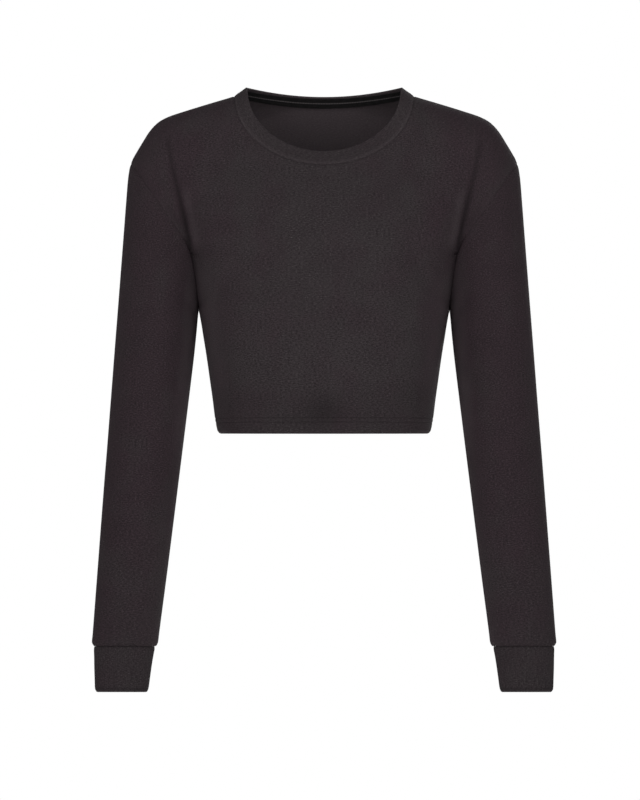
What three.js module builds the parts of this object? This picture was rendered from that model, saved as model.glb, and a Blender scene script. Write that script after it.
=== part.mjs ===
// A long-sleeved crop top in dark heather jersey, filled out as it is when worn, with both
// sleeves hanging a little away from the sides. Its neck, hem, cuffs and armholes are open.
//
// Units are millimetres and +Z is up. The front faces -Y and +X is the viewer's right.
// The origin lies midway between the neck ends of the two shoulder seams, where the wearer's
// shoulders carry the garment.
//
// Each piece is one cut piece of cloth: a wall made from a grid of points on its outer face
// and the same grid moved inwards by the thickness of the cloth.
import * as THREE from "three";

// Thickness of the cloth
const JERSEY = 1.6;
const RIB_DOUBLED = 2.2;
const HEM_DOUBLED = 2.6;
const TAPE = 0.8;

// Clearance where two pieces are sewn together
const SEAM_GAP = 0.3;

// Levels of the main lines
const HEM_HEIGHT = -383;
const HEM_TURN = 17;
const UNDERARM_HEIGHT = -244;
const SLEEVE_END_HEIGHT = -626;

// Neck opening: the seam that joins the rib to the body, and the free edge of the rib
const NECK_SEAM = { halfWidth: 102.7, sideHeight: 0.6, frontDrop: 78.1, backDrop: 13.1 };
const NECK_EDGE = { halfWidth: 88.8, sideHeight: 10.9, frontDrop: 73, backDrop: 11 };
const NECK_EDGE_SHARE = { front: 0.91, back: 0.86 }; // how far the free edge leans in

// How the chest rounds: squareness of its sections, and the drop over which it fills out
const TORSO_POWER = 2.4;
const SHOULDER_REACH = 190;

// How the chest and the arm run into each other: the blend is full near the shoulder and
// closes to a sharp valley at the armpit. A panel's edge takes up the sleeve's form over the
// last few centimetres before the seam.
const BLEND = { width: 30, share: 0.6, closedHeight: -160, openHeight: -110 };
const SHOULDER_DOME_HEIGHT = -60;
const EDGE_REACH = 14;

// Sections of the body: half its width, and its depth in front and behind. Above the underarm,
// halfWidth is where the chest would end if it ran on under the sleeve.
const TORSO = [
  { height: -383, halfWidth: 119.4, front: 103, back: 85 },
  { height: -379.6, halfWidth: 121.6, front: 104, back: 86 },
  { height: -340, halfWidth: 127.5, front: 107, back: 89 },
  { height: -290, halfWidth: 134.7, front: 111, back: 93 },
  { height: -244, halfWidth: 142.6, front: 113, back: 98 },
  { height: -204, halfWidth: 150.0, front: 112, back: 102 },
  { height: -180, halfWidth: 156.4, front: 110, back: 103 },
  { height: -160, halfWidth: 169.3, front: 107, back: 103 },
  { height: -131, halfWidth: 178, front: 101, back: 102 },
  { height: -103, halfWidth: 192, front: 93, back: 99 },
  { height: -78, halfWidth: 212, front: 84, back: 95 },
  { height: -45, halfWidth: 226, front: 76, back: 90 },
  { height: 35, halfWidth: 232, front: 70, back: 84 },
];

// Sections of the sleeve: its outer and inner edges seen from the front, half its depth and
// the line of its middle, which swings forward below the elbow.
const SLEEVE = [
  { height: -626, outer: 262.8, inner: 191.1, depth: 31.8, middle: -20 },
  { height: -621, outer: 264.6, inner: 189.2, depth: 34, middle: -20 },
  { height: -612, outer: 263.9, inner: 188.1, depth: 35.5, middle: -19.5 },
  { height: -545, outer: 258.8, inner: 179.3, depth: 38.5, middle: -14 },
  { height: -442, outer: 250.9, inner: 166.3, depth: 42.5, middle: -6 },
  { height: -340, outer: 242.8, inner: 153.6, depth: 46, middle: -1 },
  { height: -288, outer: 238.8, inner: 147.4, depth: 48, middle: 0 },
  { height: -245, outer: 235.4, inner: 143.2, depth: 49, middle: 0 },
  { height: -160, outer: 228.8, inner: 135, depth: 49.5, middle: 0 },
  { height: -117, outer: 225.5, inner: 131, depth: 49.5, middle: 0 },
  { height: -95, outer: 223.7, inner: 128.7, depth: 49, middle: 0 },
  { height: -85, outer: 222.3, inner: 127.8, depth: 48.5, middle: 0 },
  { height: -76, outer: 220.1, inner: 127, depth: 48, middle: 0 },
];

// Sections of the cuff, in the same columns
const CUFF = [
  { height: -677.6, outer: 259.8, inner: 201.6, depth: 26.4, middle: -22 },
  { height: -674, outer: 261.2, inner: 200.2, depth: 27.6, middle: -22 },
  { height: -664, outer: 261.5, inner: 198.8, depth: 28.4, middle: -21.5 },
  { height: -647, outer: 262, inner: 196.4, depth: 29.6, middle: -21 },
  { height: -626, outer: 262.2, inner: 192.9, depth: 30.4, middle: -20 },
];

// Height of the armhole seam round the sleeve head. Angle 0 is the outer edge, 180 the underarm.
const ARMHOLE = [
  { angle: 0, height: -76.4 },
  { angle: 30, height: -83 },
  { angle: 60, height: -104 },
  { angle: 83, height: -126.5 },
  { angle: 117, height: -160 },
  { angle: 133, height: -180 },
  { angle: 145, height: -203 },
  { angle: 163, height: -231 },
  { angle: 180, height: UNDERARM_HEIGHT },
];

// Top and outer edge of one half seen from the front, from the middle of the neck outwards.
// The stretch inside the neck seam only guides the form of the chest.
const OUTLINE = [
  { across: -60, height: 14 },
  { across: 0, height: 31 },
  { across: 60, height: 14 },
  { across: 102.7, height: 0.6 },
  { across: 131.6, height: -8 },
  { across: 161.2, height: -17.1 },
  { across: 175.1, height: -21.7 },
  { across: 184.7, height: -26.2 },
  { across: 191.1, height: -30.8 },
  { across: 199.2, height: -39.9 },
  { across: 207.8, height: -53.6 },
  { across: 213.3, height: -62.7 },
  { across: 220.1, height: -76.4 },
  { across: 225.5, height: -117 },
  { across: 235.4, height: -245 },
];
const OUTLINE_AT_NECK_SEAM = 3;
const OUTLINE_AT_ARMHOLE = 12;

// The fold that runs from the shoulder down to the armhole seam, where the arm pulls the cloth.
// It fades out below its last row.
const ARM_FOLD_FADE = 20;
const ARM_FOLD = [
  { across: 178.5, height: -40, sink: 0, spread: 14 },
  { across: 174, height: -73, sink: 3, spread: 13 },
  { across: 168.2, height: -103, sink: 5, spread: 13 },
  { across: 161.5, height: -132, sink: 6, spread: 12 },
  { across: 156.5, height: -160, sink: 5, spread: 12 },
];

// A soft hollow in the lower front, where the cloth hangs free of the chest
const FRONT_HOLLOW = { height: -370, sink: 5, halfWidth: 34, halfHeight: 60 };

// Grids
const PANEL_SIDE_ROWS = [0, 0.02, 0.115, 0.13, 0.31, 0.5, 0.68, 0.85, 1];
const ARMHOLE_STEP = 10; // degrees between the points that the panels and the sleeve share
const NECK_COLUMNS = 12; // in a quarter of the neck opening
const SHOULDER_COLUMNS = 10;
const NECK_POINT_SHARE = 0.75; // share of a half panel's width that ends at the neck
const SLEEVE_ROWS = [0, 0.009, 0.026, 0.12, 0.27, 0.42, 0.57, 0.71, 0.83, 0.92, 0.98, 1];
const CUFF_ROWS = [-677.6, -674, -664, -647, SLEEVE_END_HEIGHT - SEAM_GAP];
const NECKBAND_ROWS = [0, 0.35, 0.75, 1];
const TAPE_ROWS = [-6, -3, 0, 3];
const TAPE_COLUMNS = 10; // each way from the middle, in steps of the neck columns
const TAPE_CLEARANCE = 0.5;

// A smooth curve through one column of a table, which never overshoots its points
function column(table, key, name) {
  const rows = [...table].sort((a, b) => a[key] - b[key]);
  const at = rows.map((row) => row[key]);
  const value = rows.map((row) => row[name]);
  const last = rows.length - 1;
  const slope = (i) => (value[i + 1] - value[i]) / (at[i + 1] - at[i]);
  const tangent = rows.map((_, i) => {
    if (i === 0) return slope(0);
    if (i === last) return slope(last - 1);
    const before = slope(i - 1);
    const after = slope(i);
    return before * after <= 0 ? 0 : (2 * before * after) / (before + after);
  });
  return (x) => {
    if (x <= at[0]) return value[0] + tangent[0] * (x - at[0]);
    if (x >= at[last]) return value[last] + tangent[last] * (x - at[last]);
    const i = at.findIndex((_, n) => x < at[n + 1]);
    const step = at[i + 1] - at[i];
    const t = (x - at[i]) / step;
    return (
      value[i] * (1 + 2 * t) * (1 - t) ** 2 +
      tangent[i] * step * t * (1 - t) ** 2 +
      value[i + 1] * t * t * (3 - 2 * t) -
      tangent[i + 1] * step * t * t * (1 - t)
    );
  };
}

// Every column of a table as a function of its key
function curves(table, key) {
  const names = Object.keys(table[0]).filter((name) => name !== key);
  return Object.fromEntries(names.map((name) => [name, column(table, key, name)]));
}

const torso = curves(TORSO, "height");
const sleeve = curves(SLEEVE, "height");
const cuff = curves(CUFF, "height");
const outline = curves(OUTLINE, "across");
const armFold = curves(ARM_FOLD, "height");
const armholeHeight = column(ARMHOLE, "angle", "height");

const clamp01 = (t) => Math.min(Math.max(t, 0), 1);
const smooth = (t) => clamp01(t) ** 2 * (3 - 2 * clamp01(t));
const mix = (a, b, t) => a + (b - a) * t;
const quarterRound = (t) => Math.sqrt(1 - (1 - clamp01(t)) ** 2);

// A point on a tube's section at a height. Angle 0 is the outer edge, 90 the front and 180 the
// inner edge.
function sectionPoint(tube, angle, height, inset = 0) {
  const turn = THREE.MathUtils.degToRad(angle);
  const halfWidth = (tube.outer(height) - tube.inner(height)) / 2 - inset;
  const centre = (tube.outer(height) + tube.inner(height)) / 2;
  const halfDepth = tube.depth(height) - inset;
  return new THREE.Vector3(
    centre + halfWidth * Math.cos(turn),
    tube.middle(height) - halfDepth * Math.sin(turn),
    height,
  );
}

// Distance from a point of the front view to the top and outer edge
function distanceToOutline(across, height) {
  let nearest = Infinity;
  for (let i = 0; i + 1 < OUTLINE.length; i++) {
    const a = OUTLINE[i];
    const b = OUTLINE[i + 1];
    const along = { across: b.across - a.across, height: b.height - a.height };
    const length = along.across ** 2 + along.height ** 2;
    const t = clamp01(((across - a.across) * along.across + (height - a.height) * along.height) / length);
    const gap = Math.hypot(across - a.across - along.across * t, height - a.height - along.height * t);
    nearest = Math.min(nearest, gap);
  }
  return nearest;
}

// Depth of the chest or the back, without the arm
function torsoDepth(across, height, fullDepth) {
  const share = Math.min(across / torso.halfWidth(height), 1);
  const section = (1 - share ** TORSO_POWER) ** (1 / TORSO_POWER);
  const below = (outline.height(across) - height) / SHOULDER_REACH;
  return fullDepth * section * quarterRound(below);
}

// Depth of the sleeve head under the cloth of the shoulder
function armDepth(across, height) {
  if (height < UNDERARM_HEIGHT) return 0;
  const halfWidth = (sleeve.outer(height) - sleeve.inner(height)) / 2;
  const centre = (sleeve.outer(height) + sleeve.inner(height)) / 2;
  const full = sleeve.depth(Math.min(height, SLEEVE[SLEEVE.length - 1].height));
  const domed = full * quarterRound(distanceToOutline(across, height) / halfWidth);
  if (across > centre) return domed;
  const ring = full * Math.sqrt(Math.max(0, 1 - ((across - centre) / halfWidth) ** 2));
  const onShoulder = smooth((height - BLEND.closedHeight) / (SHOULDER_DOME_HEIGHT - BLEND.closedHeight));
  return mix(Math.min(ring, domed), domed, onShoulder);
}

// How far the cloth sinks in at the fold of the arm
function foldDepth(across, height) {
  const start = ARM_FOLD[0].height;
  const end = ARM_FOLD[ARM_FOLD.length - 1].height - ARM_FOLD_FADE;
  if (height > start || height < end) return 0;
  const away = (across - armFold.across(height)) / armFold.spread(height);
  return Math.max(armFold.sink(height), 0) * Math.exp(-away * away);
}

// Depth of a body panel behind or in front of the seam plane
function panelDepth(side, signedAcross, height) {
  const across = Math.abs(signedAcross);
  const full = side < 0 ? torso.front(height) : torso.back(height);
  const chest = torsoDepth(across, height, full);
  const arm = armDepth(across, height);
  const open = smooth((height - BLEND.closedHeight) / (BLEND.openHeight - BLEND.closedHeight));
  const blend = Math.min(BLEND.width, BLEND.share * Math.max(chest, arm)) * open;
  const overlap = blend > 0 ? Math.max(blend - Math.abs(chest - arm), 0) / blend : 0;
  const joined = Math.max(chest, arm) + (overlap * overlap * blend) / 4;
  const low = (height - FRONT_HOLLOW.height) / FRONT_HOLLOW.halfHeight;
  const wide = across / FRONT_HOLLOW.halfWidth;
  const hollow = side < 0 ? FRONT_HOLLOW.sink * Math.exp(-low * low - wide * wide) : 0;
  return joined - foldDepth(across, height) - hollow;
}

// Where the neck seam or the free edge of the rib lies in the front view, at an angle from
// the middle of the front or back round to the side
function neckLine(line, side, turn) {
  const drop = side < 0 ? line.frontDrop * Math.cos(turn) : line.backDrop * Math.cos(turn) ** 2;
  return { across: line.halfWidth * Math.sin(turn), height: line.sideHeight - drop };
}

function neckSeamPoint(side, turn) {
  const { across, height } = neckLine(NECK_SEAM, side, turn);
  return new THREE.Vector3(across, side * (panelDepth(side, across, height) + SEAM_GAP / 2), height);
}

function neckEdgePoint(side, turn) {
  const { across, height } = neckLine(NECK_EDGE, side, turn);
  const share = side < 0 ? NECK_EDGE_SHARE.front : NECK_EDGE_SHARE.back;
  return new THREE.Vector3(across, neckSeamPoint(side, turn).y * share, height);
}

// Directions at the neck seam: along it, out of the panel, out of the rib and between the two
function neckSeamDirections(side, turn) {
  const step = 0.02;
  const steady = Math.min(turn, THREE.MathUtils.degToRad(83)); // the panel is too steep right at the side
  const seam = neckSeamPoint(side, steady);
  const along = neckSeamPoint(side, steady + step).sub(neckSeamPoint(side, steady - step)).normalize();
  const slope = (dx, dz) =>
    panelDepth(side, seam.x + dx, seam.z + dz) - panelDepth(side, seam.x - dx, seam.z - dz);
  const panel = new THREE.Vector3(-slope(step, 0), side * 2 * step, -slope(0, step)).normalize();
  const rib = neckEdgePoint(side, steady).sub(seam).cross(along).normalize();
  rib.multiplyScalar(Math.sign(rib.dot(panel)));
  const between = new THREE.Vector3().addVectors(panel, rib);
  if (turn > steady) between.y = 0;
  return { along, panel, rib, between: between.normalize() };
}

// Turns from the middle to the side that split the neck seam of a panel into equal lengths
function evenNeckTurns(side) {
  const fine = 400;
  const lengths = [0];
  for (let i = 1; i <= fine; i++) {
    const before = neckSeamPoint(side, ((i - 1) / fine) * (Math.PI / 2));
    const after = neckSeamPoint(side, (i / fine) * (Math.PI / 2));
    lengths.push(lengths[i - 1] + before.distanceTo(after));
  }
  return Array.from({ length: NECK_COLUMNS + 1 }, (_, c) => {
    const wanted = (c / NECK_COLUMNS) * lengths[fine];
    const i = lengths.findIndex((length) => length >= wanted - 1e-9);
    return (i / fine) * (Math.PI / 2);
  });
}
const NECK_TURNS = { front: evenNeckTurns(-1), back: evenNeckTurns(1) };
const neckTurn = (side, step) => (side < 0 ? NECK_TURNS.front : NECK_TURNS.back)[step];

// Points spread evenly along the shoulder seam, from the neck to the armhole
function shoulderSeam(count) {
  const stretch = OUTLINE.slice(OUTLINE_AT_NECK_SEAM, OUTLINE_AT_ARMHOLE + 1);
  const points = stretch.map(({ across, height }) => new THREE.Vector3(across, height, 0));
  const curve = new THREE.CatmullRomCurve3(points, false, "centripetal");
  return curve.getSpacedPoints(count).map((p) => ({ across: p.x, height: p.y }));
}

// One half of a body panel as rows of points from the middle to its side edge
function halfPanel(side) {
  const columns = NECK_COLUMNS + SHOULDER_COLUMNS;
  const share = (c) =>
    c <= NECK_COLUMNS
      ? (NECK_POINT_SHARE * c) / NECK_COLUMNS
      : mix(NECK_POINT_SHARE, 1, (c - NECK_COLUMNS) / SHOULDER_COLUMNS);
  const spread = (c) => Math.sin((share(c) * Math.PI) / 2);
  const shoulder = shoulderSeam(SHOULDER_COLUMNS);
  const top = (c) =>
    c <= NECK_COLUMNS
      ? neckLine(NECK_SEAM, side, neckTurn(side, c))
      : shoulder[c - NECK_COLUMNS];
  const place = (across, height, pull) => {
    const depth = Math.max(panelDepth(side, across, height), 0) + pull + SEAM_GAP / 2;
    return new THREE.Vector3(across, side * depth, height);
  };

  const rows = PANEL_SIDE_ROWS.map((t) => {
    const height = mix(HEM_HEIGHT, UNDERARM_HEIGHT, t);
    const halfWidth = torso.halfWidth(height);
    return Array.from({ length: columns + 1 }, (_, c) => place(halfWidth * spread(c), height, 0));
  });

  // Each row above the underarm blends the underarm line with the top edge, and then shifts so
  // that it ends on the armhole
  const upper = 180 / ARMHOLE_STEP;
  const underarm = torso.halfWidth(UNDERARM_HEIGHT);
  const corner = top(columns);
  for (let k = 1; k <= upper; k++) {
    const angle = 180 - k * ARMHOLE_STEP;
    const lean = k / upper;
    const rise = Math.sin((lean * Math.PI) / 2); // rows draw together towards the shoulder
    const edge = sectionPoint(sleeve, angle, armholeHeight(angle));
    edge.x += SEAM_GAP * Math.min(Math.cos(THREE.MathUtils.degToRad(angle)), 0);
    const edgeDepth = Math.abs(edge.y);
    const pull = k < upper ? edgeDepth - panelDepth(side, edge.x, edge.z) : 0;
    const shift = {
      across: edge.x - mix(underarm, corner.across, lean),
      height: edge.z - mix(UNDERARM_HEIGHT, corner.height, rise),
    };
    const row = Array.from({ length: columns + 1 }, (_, c) => {
      const s = spread(c);
      const across = mix(underarm * s, top(c).across, lean) + s * shift.across;
      const height = mix(UNDERARM_HEIGHT, top(c).height, rise) + s * shift.height;
      const away = Math.hypot(across - edge.x, height - edge.z) / EDGE_REACH;
      return place(across, height, pull * Math.exp(-away * away));
    });
    if (k < upper) row[columns].y = side * (edgeDepth + SEAM_GAP / 2);
    rows.push(row);
  }
  // The shoulder seam lies in the plane between the two panels
  rows[rows.length - 1].slice(NECK_COLUMNS).forEach((point) => {
    point.y = (side * SEAM_GAP) / 2;
  });
  return rows;
}

// Outward normals of a grid of points, from its neighbours
function gridNormals(rows, closed) {
  const width = rows[0].length;
  return rows.map((row, r) =>
    row.map((_, c) => {
      const left = closed ? (c + width - 1) % width : Math.max(c - 1, 0);
      const right = closed ? (c + 1) % width : Math.min(c + 1, width - 1);
      const along = new THREE.Vector3().subVectors(row[right], row[left]);
      const up = new THREE.Vector3().subVectors(
        rows[Math.min(r + 1, rows.length - 1)][c],
        rows[Math.max(r - 1, 0)][c],
      );
      return along.cross(up).normalize();
    }),
  );
}

// A closed wall between an outer grid and an inner one. Rows run from the lower edge up, and
// each row runs anticlockwise seen from outside.
function wallBetween(outer, inner, closed) {
  const width = outer[0].length;
  const lastRow = outer.length - 1;
  const points = [...outer.flat(), ...inner.flat()];
  const inside = points.length / 2;
  const at = (r, c) => r * width + (c % width);
  const index = [];
  const quad = (a, b, c, d) => index.push(a, b, c, a, c, d);
  const spans = closed ? width : width - 1;
  for (let r = 0; r < lastRow; r++) {
    for (let c = 0; c < spans; c++) {
      const cell = [at(r, c), at(r, c + 1), at(r + 1, c + 1), at(r + 1, c)];
      // Each cell is split along its shorter diagonal, alike on both faces of the cloth
      const rising = points[cell[0]].distanceTo(points[cell[2]]);
      const falling = points[cell[1]].distanceTo(points[cell[3]]);
      if (rising > falling) cell.push(cell.shift());
      const [a, b, d, e] = cell;
      quad(a, b, d, e);
      quad(a + inside, e + inside, d + inside, b + inside);
    }
  }
  const rim = (a, b) => quad(a, a + inside, b + inside, b);
  for (let c = 0; c < spans; c++) {
    rim(at(0, c), at(0, c + 1));
    rim(at(lastRow, c + 1), at(lastRow, c));
  }
  for (let r = 0; r < lastRow && !closed; r++) {
    rim(at(r + 1, 0), at(r, 0));
    rim(at(r, width - 1), at(r + 1, width - 1));
  }
  const geometry = new THREE.BufferGeometry().setFromPoints(points);
  geometry.setIndex(index);
  geometry.computeVertexNormals();
  return geometry;
}

// The same grid seen from a mirror: x changes sign and the order of each row turns round
const mirrored = (rows) =>
  rows.map((row) => row.map((p) => new THREE.Vector3(-p.x, p.y, p.z)).reverse());

// A body panel: side -1 is the front and 1 the back
function bodyPanel(side) {
  const half = halfPanel(side);
  const left = mirrored(half);
  const outer = half.map((row, r) => {
    const whole = [...left[r].slice(0, -1), ...row];
    return side < 0 ? whole : whole.reverse();
  });
  const normals = gridNormals(outer, false);
  const last = outer[0].length - 1;
  const sideRows = PANEL_SIDE_ROWS.length;
  const inner = outer.map((row, r) =>
    row.map((point, c) => {
      const normal = normals[r][c].clone();
      const atEdge = c === 0 || c === last;
      if (r === 0 || atEdge) normal.z = 0;
      if (atEdge && r < sideRows) normal.set(Math.sign(point.x), 0, 0);
      if (atEdge && r >= sideRows) {
        // Towards the top of the armhole the wall lies in line with the wall of the sleeve
        const angle = 180 - (r - sideRows + 1) * ARMHOLE_STEP;
        const turn = THREE.MathUtils.degToRad(angle);
        const own = normal.clone().normalize();
        normal.set(Math.sign(point.x) * Math.cos(turn), side * Math.sin(turn), 0);
        normal.lerp(own, smooth((angle - 115) / 35));
      }
      if (r === outer.length - 1) {
        const fromMiddle = Math.abs(c - last / 2);
        if (fromMiddle <= NECK_COLUMNS) {
          normal.copy(neckSeamDirections(side, neckTurn(side, fromMiddle)).between);
          normal.x *= Math.sign(point.x);
        }
        if (fromMiddle >= NECK_COLUMNS) normal.y = 0;
      }
      const doubled = smooth((HEM_HEIGHT + HEM_TURN + 1 - point.z) / 2);
      return point.clone().addScaledVector(normal.normalize(), -mix(JERSEY, HEM_DOUBLED, doubled));
    }),
  );
  return wallBetween(outer, inner, false);
}

// A sleeve or a cuff: rings of points round a tube, each at the height that ringHeight gives
function tubeWall(tube, rowList, ringHeight, thickness) {
  const grid = (inset) =>
    rowList.map((row) =>
      Array.from({ length: 360 / ARMHOLE_STEP }, (_, c) => {
        const angle = 180 - c * ARMHOLE_STEP;
        return sectionPoint(tube, angle, ringHeight(row, Math.abs(angle)), inset);
      }),
    );
  return wallBetween(grid(0), grid(thickness), true);
}

// The sleeve stops short of the armhole seam by the clearance, measured square to the seam
function sleeveTop(angle) {
  const step = 2;
  const low = sectionPoint(sleeve, angle - step, armholeHeight(Math.abs(angle - step)));
  const high = sectionPoint(sleeve, angle + step, armholeHeight(180 - Math.abs(180 - angle - step)));
  const rise = high.z - low.z;
  const run = Math.hypot(high.x - low.x, high.y - low.y);
  return armholeHeight(angle) - (SEAM_GAP * Math.hypot(rise, run)) / run;
}

const sleeveRing = (t, angle) => mix(SLEEVE_END_HEIGHT, sleeveTop(angle), t);
const cuffRing = (height) => height;

// The rib band round the neck, doubled over at its free edge
function neckband() {
  // From the middle of the front, anticlockwise seen from above
  const stations = Array.from({ length: 4 * NECK_COLUMNS }, (_, c) => {
    const side = c < NECK_COLUMNS || c > 3 * NECK_COLUMNS ? -1 : 1;
    const fromMiddle = side < 0 ? Math.min(c, 4 * NECK_COLUMNS - c) : Math.abs(c - 2 * NECK_COLUMNS);
    return { side, turn: neckTurn(side, fromMiddle), mirror: c > 2 * NECK_COLUMNS ? -1 : 1 };
  });
  const outer = NECKBAND_ROWS.map((t) =>
    stations.map(({ side, turn, mirror }) => {
      const seam = neckSeamPoint(side, turn);
      const edge = neckEdgePoint(side, turn);
      const start = SEAM_GAP / seam.distanceTo(edge);
      const point = seam.lerp(edge, mix(start, 1, t));
      point.x *= mirror;
      return point;
    }),
  );
  const normals = gridNormals(outer, true);
  const inner = outer.map((row, r) =>
    row.map((point, c) => {
      const { side, turn, mirror } = stations[c];
      const normal = normals[r][c].clone();
      if (r === 0) {
        normal.copy(neckSeamDirections(side, turn).between);
        normal.x *= mirror;
      }
      const thickness = r === outer.length - 1 ? RIB_DOUBLED * 0.75 : RIB_DOUBLED;
      return point.clone().addScaledVector(normal, -thickness);
    }),
  );
  return wallBetween(outer, inner, true);
}

// The tape that covers the back neck seam on the inside, from shoulder seam to shoulder seam
function neckTape() {
  const steps = Array.from({ length: 2 * TAPE_COLUMNS + 1 }, (_, c) => TAPE_COLUMNS - c);
  const grid = (distance) =>
    TAPE_ROWS.map((up) =>
      steps.map((step) => {
        const turn = neckTurn(1, Math.abs(step));
        const { along, panel, rib, between } = neckSeamDirections(1, turn);
        const out = up < 0 ? panel : up > 0 ? rib : between;
        const upwards = along.clone().cross(out).normalize();
        upwards.multiplyScalar(Math.sign(upwards.dot(neckEdgePoint(1, turn).sub(neckSeamPoint(1, turn)))));
        const point = neckSeamPoint(1, turn).addScaledVector(upwards, up).addScaledVector(out, -distance);
        point.x *= Math.sign(step) || 1;
        return point;
      }),
    );
  const clear = RIB_DOUBLED + TAPE_CLEARANCE;
  return wallBetween(grid(clear), grid(clear + TAPE), false);
}

// The other side's copy of a tube: mirrored in x, with its faces turned round again
function mirroredGeometry(geometry) {
  const copy = geometry.clone().applyMatrix4(new THREE.Matrix4().makeScale(-1, 1, 1));
  const index = copy.index.array;
  for (let i = 0; i < index.length; i += 3) {
    [index[i + 1], index[i + 2]] = [index[i + 2], index[i + 1]];
  }
  return copy;
}

// Finishes, as seen in even light
const jerseyFinish = new THREE.MeshStandardMaterial({ color: 0x302b2d, roughness: 0.95, metalness: 0 });
const ribFinish = new THREE.MeshStandardMaterial({ color: 0x322d2f, roughness: 0.95, metalness: 0 });
const tapeFinish = new THREE.MeshStandardMaterial({ color: 0x151515, roughness: 0.85, metalness: 0 });

const cropTop = new THREE.Group();

function add(name, geometry, finish) {
  const mesh = new THREE.Mesh(geometry, finish);
  mesh.name = name;
  cropTop.add(mesh);
}

add("front_panel", bodyPanel(-1), jerseyFinish);
add("back_panel", bodyPanel(1), jerseyFinish);

const sleeveWall = tubeWall(sleeve, SLEEVE_ROWS, sleeveRing, JERSEY);
const cuffWall = tubeWall(cuff, CUFF_ROWS, cuffRing, RIB_DOUBLED);
add("sleeve_left", sleeveWall, jerseyFinish);
add("sleeve_right", mirroredGeometry(sleeveWall), jerseyFinish);
add("cuff_left", cuffWall, ribFinish);
add("cuff_right", mirroredGeometry(cuffWall), ribFinish);

add("neckband", neckband(), ribFinish);
add("neck_tape", neckTape(), tapeFinish);

export default cropTop;
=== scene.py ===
# %% [markdown]
# # A crop top in dark heather jersey
#
# The packed CAD model is loaded first and never changes. It gives the place and the size of
# each cut piece of the top. This script then makes the same eight pieces again as fine, soft
# cloth, each on the form of its CAD solid, and gives them knit, rib, seams and stitches.

# %% Load the packed model
import math
import bpy
import numpy as np
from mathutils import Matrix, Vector


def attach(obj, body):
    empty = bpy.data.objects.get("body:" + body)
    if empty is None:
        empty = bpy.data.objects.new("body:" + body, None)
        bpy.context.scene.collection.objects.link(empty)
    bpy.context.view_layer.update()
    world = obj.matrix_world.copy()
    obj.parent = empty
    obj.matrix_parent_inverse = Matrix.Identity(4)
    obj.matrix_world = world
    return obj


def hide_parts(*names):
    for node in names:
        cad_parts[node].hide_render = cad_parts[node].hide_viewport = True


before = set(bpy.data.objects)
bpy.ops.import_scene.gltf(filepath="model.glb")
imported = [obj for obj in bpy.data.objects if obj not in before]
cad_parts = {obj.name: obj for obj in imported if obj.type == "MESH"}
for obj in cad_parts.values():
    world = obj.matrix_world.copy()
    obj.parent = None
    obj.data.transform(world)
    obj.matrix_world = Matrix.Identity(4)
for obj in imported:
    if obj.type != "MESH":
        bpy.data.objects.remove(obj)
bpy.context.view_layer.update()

MM = 0.001

# %% [markdown]
# ## Camera
#
# The photo looks straight at the front of the top, level with its middle, and shows the front
# and the back at one scale, as a very long lens does. A long lens far away would do, but a
# camera without perspective gives the same picture from close by. The picture is 640 pixels
# wide and 800 high, and one pixel covers 1.14 mm of the garment.

# %% Camera
PICTURE_WIDTH = 640
PICTURE_HEIGHT = 800
PIXEL = 1.14 * MM
MIRROR_LINE = 324.1  # pixel column of the middle of the garment
NECK_LEVEL = 97  # pixel row of the origin, between the neck ends of the shoulder seams
DISTANCE = 3

camera = bpy.data.objects.new("camera", bpy.data.cameras.new("camera"))
bpy.context.scene.collection.objects.link(camera)
aside = (PICTURE_WIDTH / 2 - MIRROR_LINE) * PIXEL
middle_level = (NECK_LEVEL - PICTURE_HEIGHT / 2) * PIXEL
camera.location = (aside, -DISTANCE, middle_level)
camera.rotation_euler = (math.radians(90), 0, 0)
camera.data.type = "ORTHO"
camera.data.ortho_scale = PICTURE_HEIGHT * PIXEL
bpy.context.scene.camera = camera
print("picture", round(PICTURE_WIDTH * PIXEL, 3), "by", round(PICTURE_HEIGHT * PIXEL, 3), "m")

# %% [markdown]
# ## Floor and light
#
# The photo has a white ground and a flat, soft light. The sleeves are hardly darker at their
# sides, so the light comes from both sides in front, and the inside of the back neck is lit
# over the front neck edge, so some comes from above. Wide area lamps give such soft light. The
# world shows white to the camera and sends a weaker white to the cloth: two backgrounds, and a
# Light Path node that chooses. The floor lies as far below as it would in wear.

# %% Floor and world
FLOOR_LEVEL = -1.38
FLOOR_SIZE = 56
WHITE = (1, 1, 1, 1)
WORLD_SEEN = 1.0  # strength of the white that the camera sees
WORLD_ON_CLOTH = 0.42  # strength of the white that lights the cloth

bpy.ops.object.select_all(action="DESELECT")
bpy.ops.mesh.primitive_plane_add(size=FLOOR_SIZE, location=(0, 0, FLOOR_LEVEL))
floor = bpy.context.object
floor.name = "studio_floor"

world = bpy.data.worlds.new("white studio")
bpy.context.scene.world = world
world.use_nodes = True
sky = world.node_tree
on_cloth = sky.nodes["Background"]
seen = sky.nodes.new("ShaderNodeBackground")
for background, strength in ((on_cloth, WORLD_ON_CLOTH), (seen, WORLD_SEEN)):
    background.inputs["Strength"].default_value = strength
    background.inputs["Color"].default_value = WHITE
ray = sky.nodes.new("ShaderNodeLightPath")
choice = sky.nodes.new("ShaderNodeMixShader")
sky.links.new(ray.outputs["Is Camera Ray"], choice.inputs[0])
sky.links.new(on_cloth.outputs[0], choice.inputs[1])
sky.links.new(seen.outputs[0], choice.inputs[2])
sky.links.new(choice.outputs[0], sky.nodes["World Output"].inputs["Surface"])
print("world", [node.name for node in sky.nodes])

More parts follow.
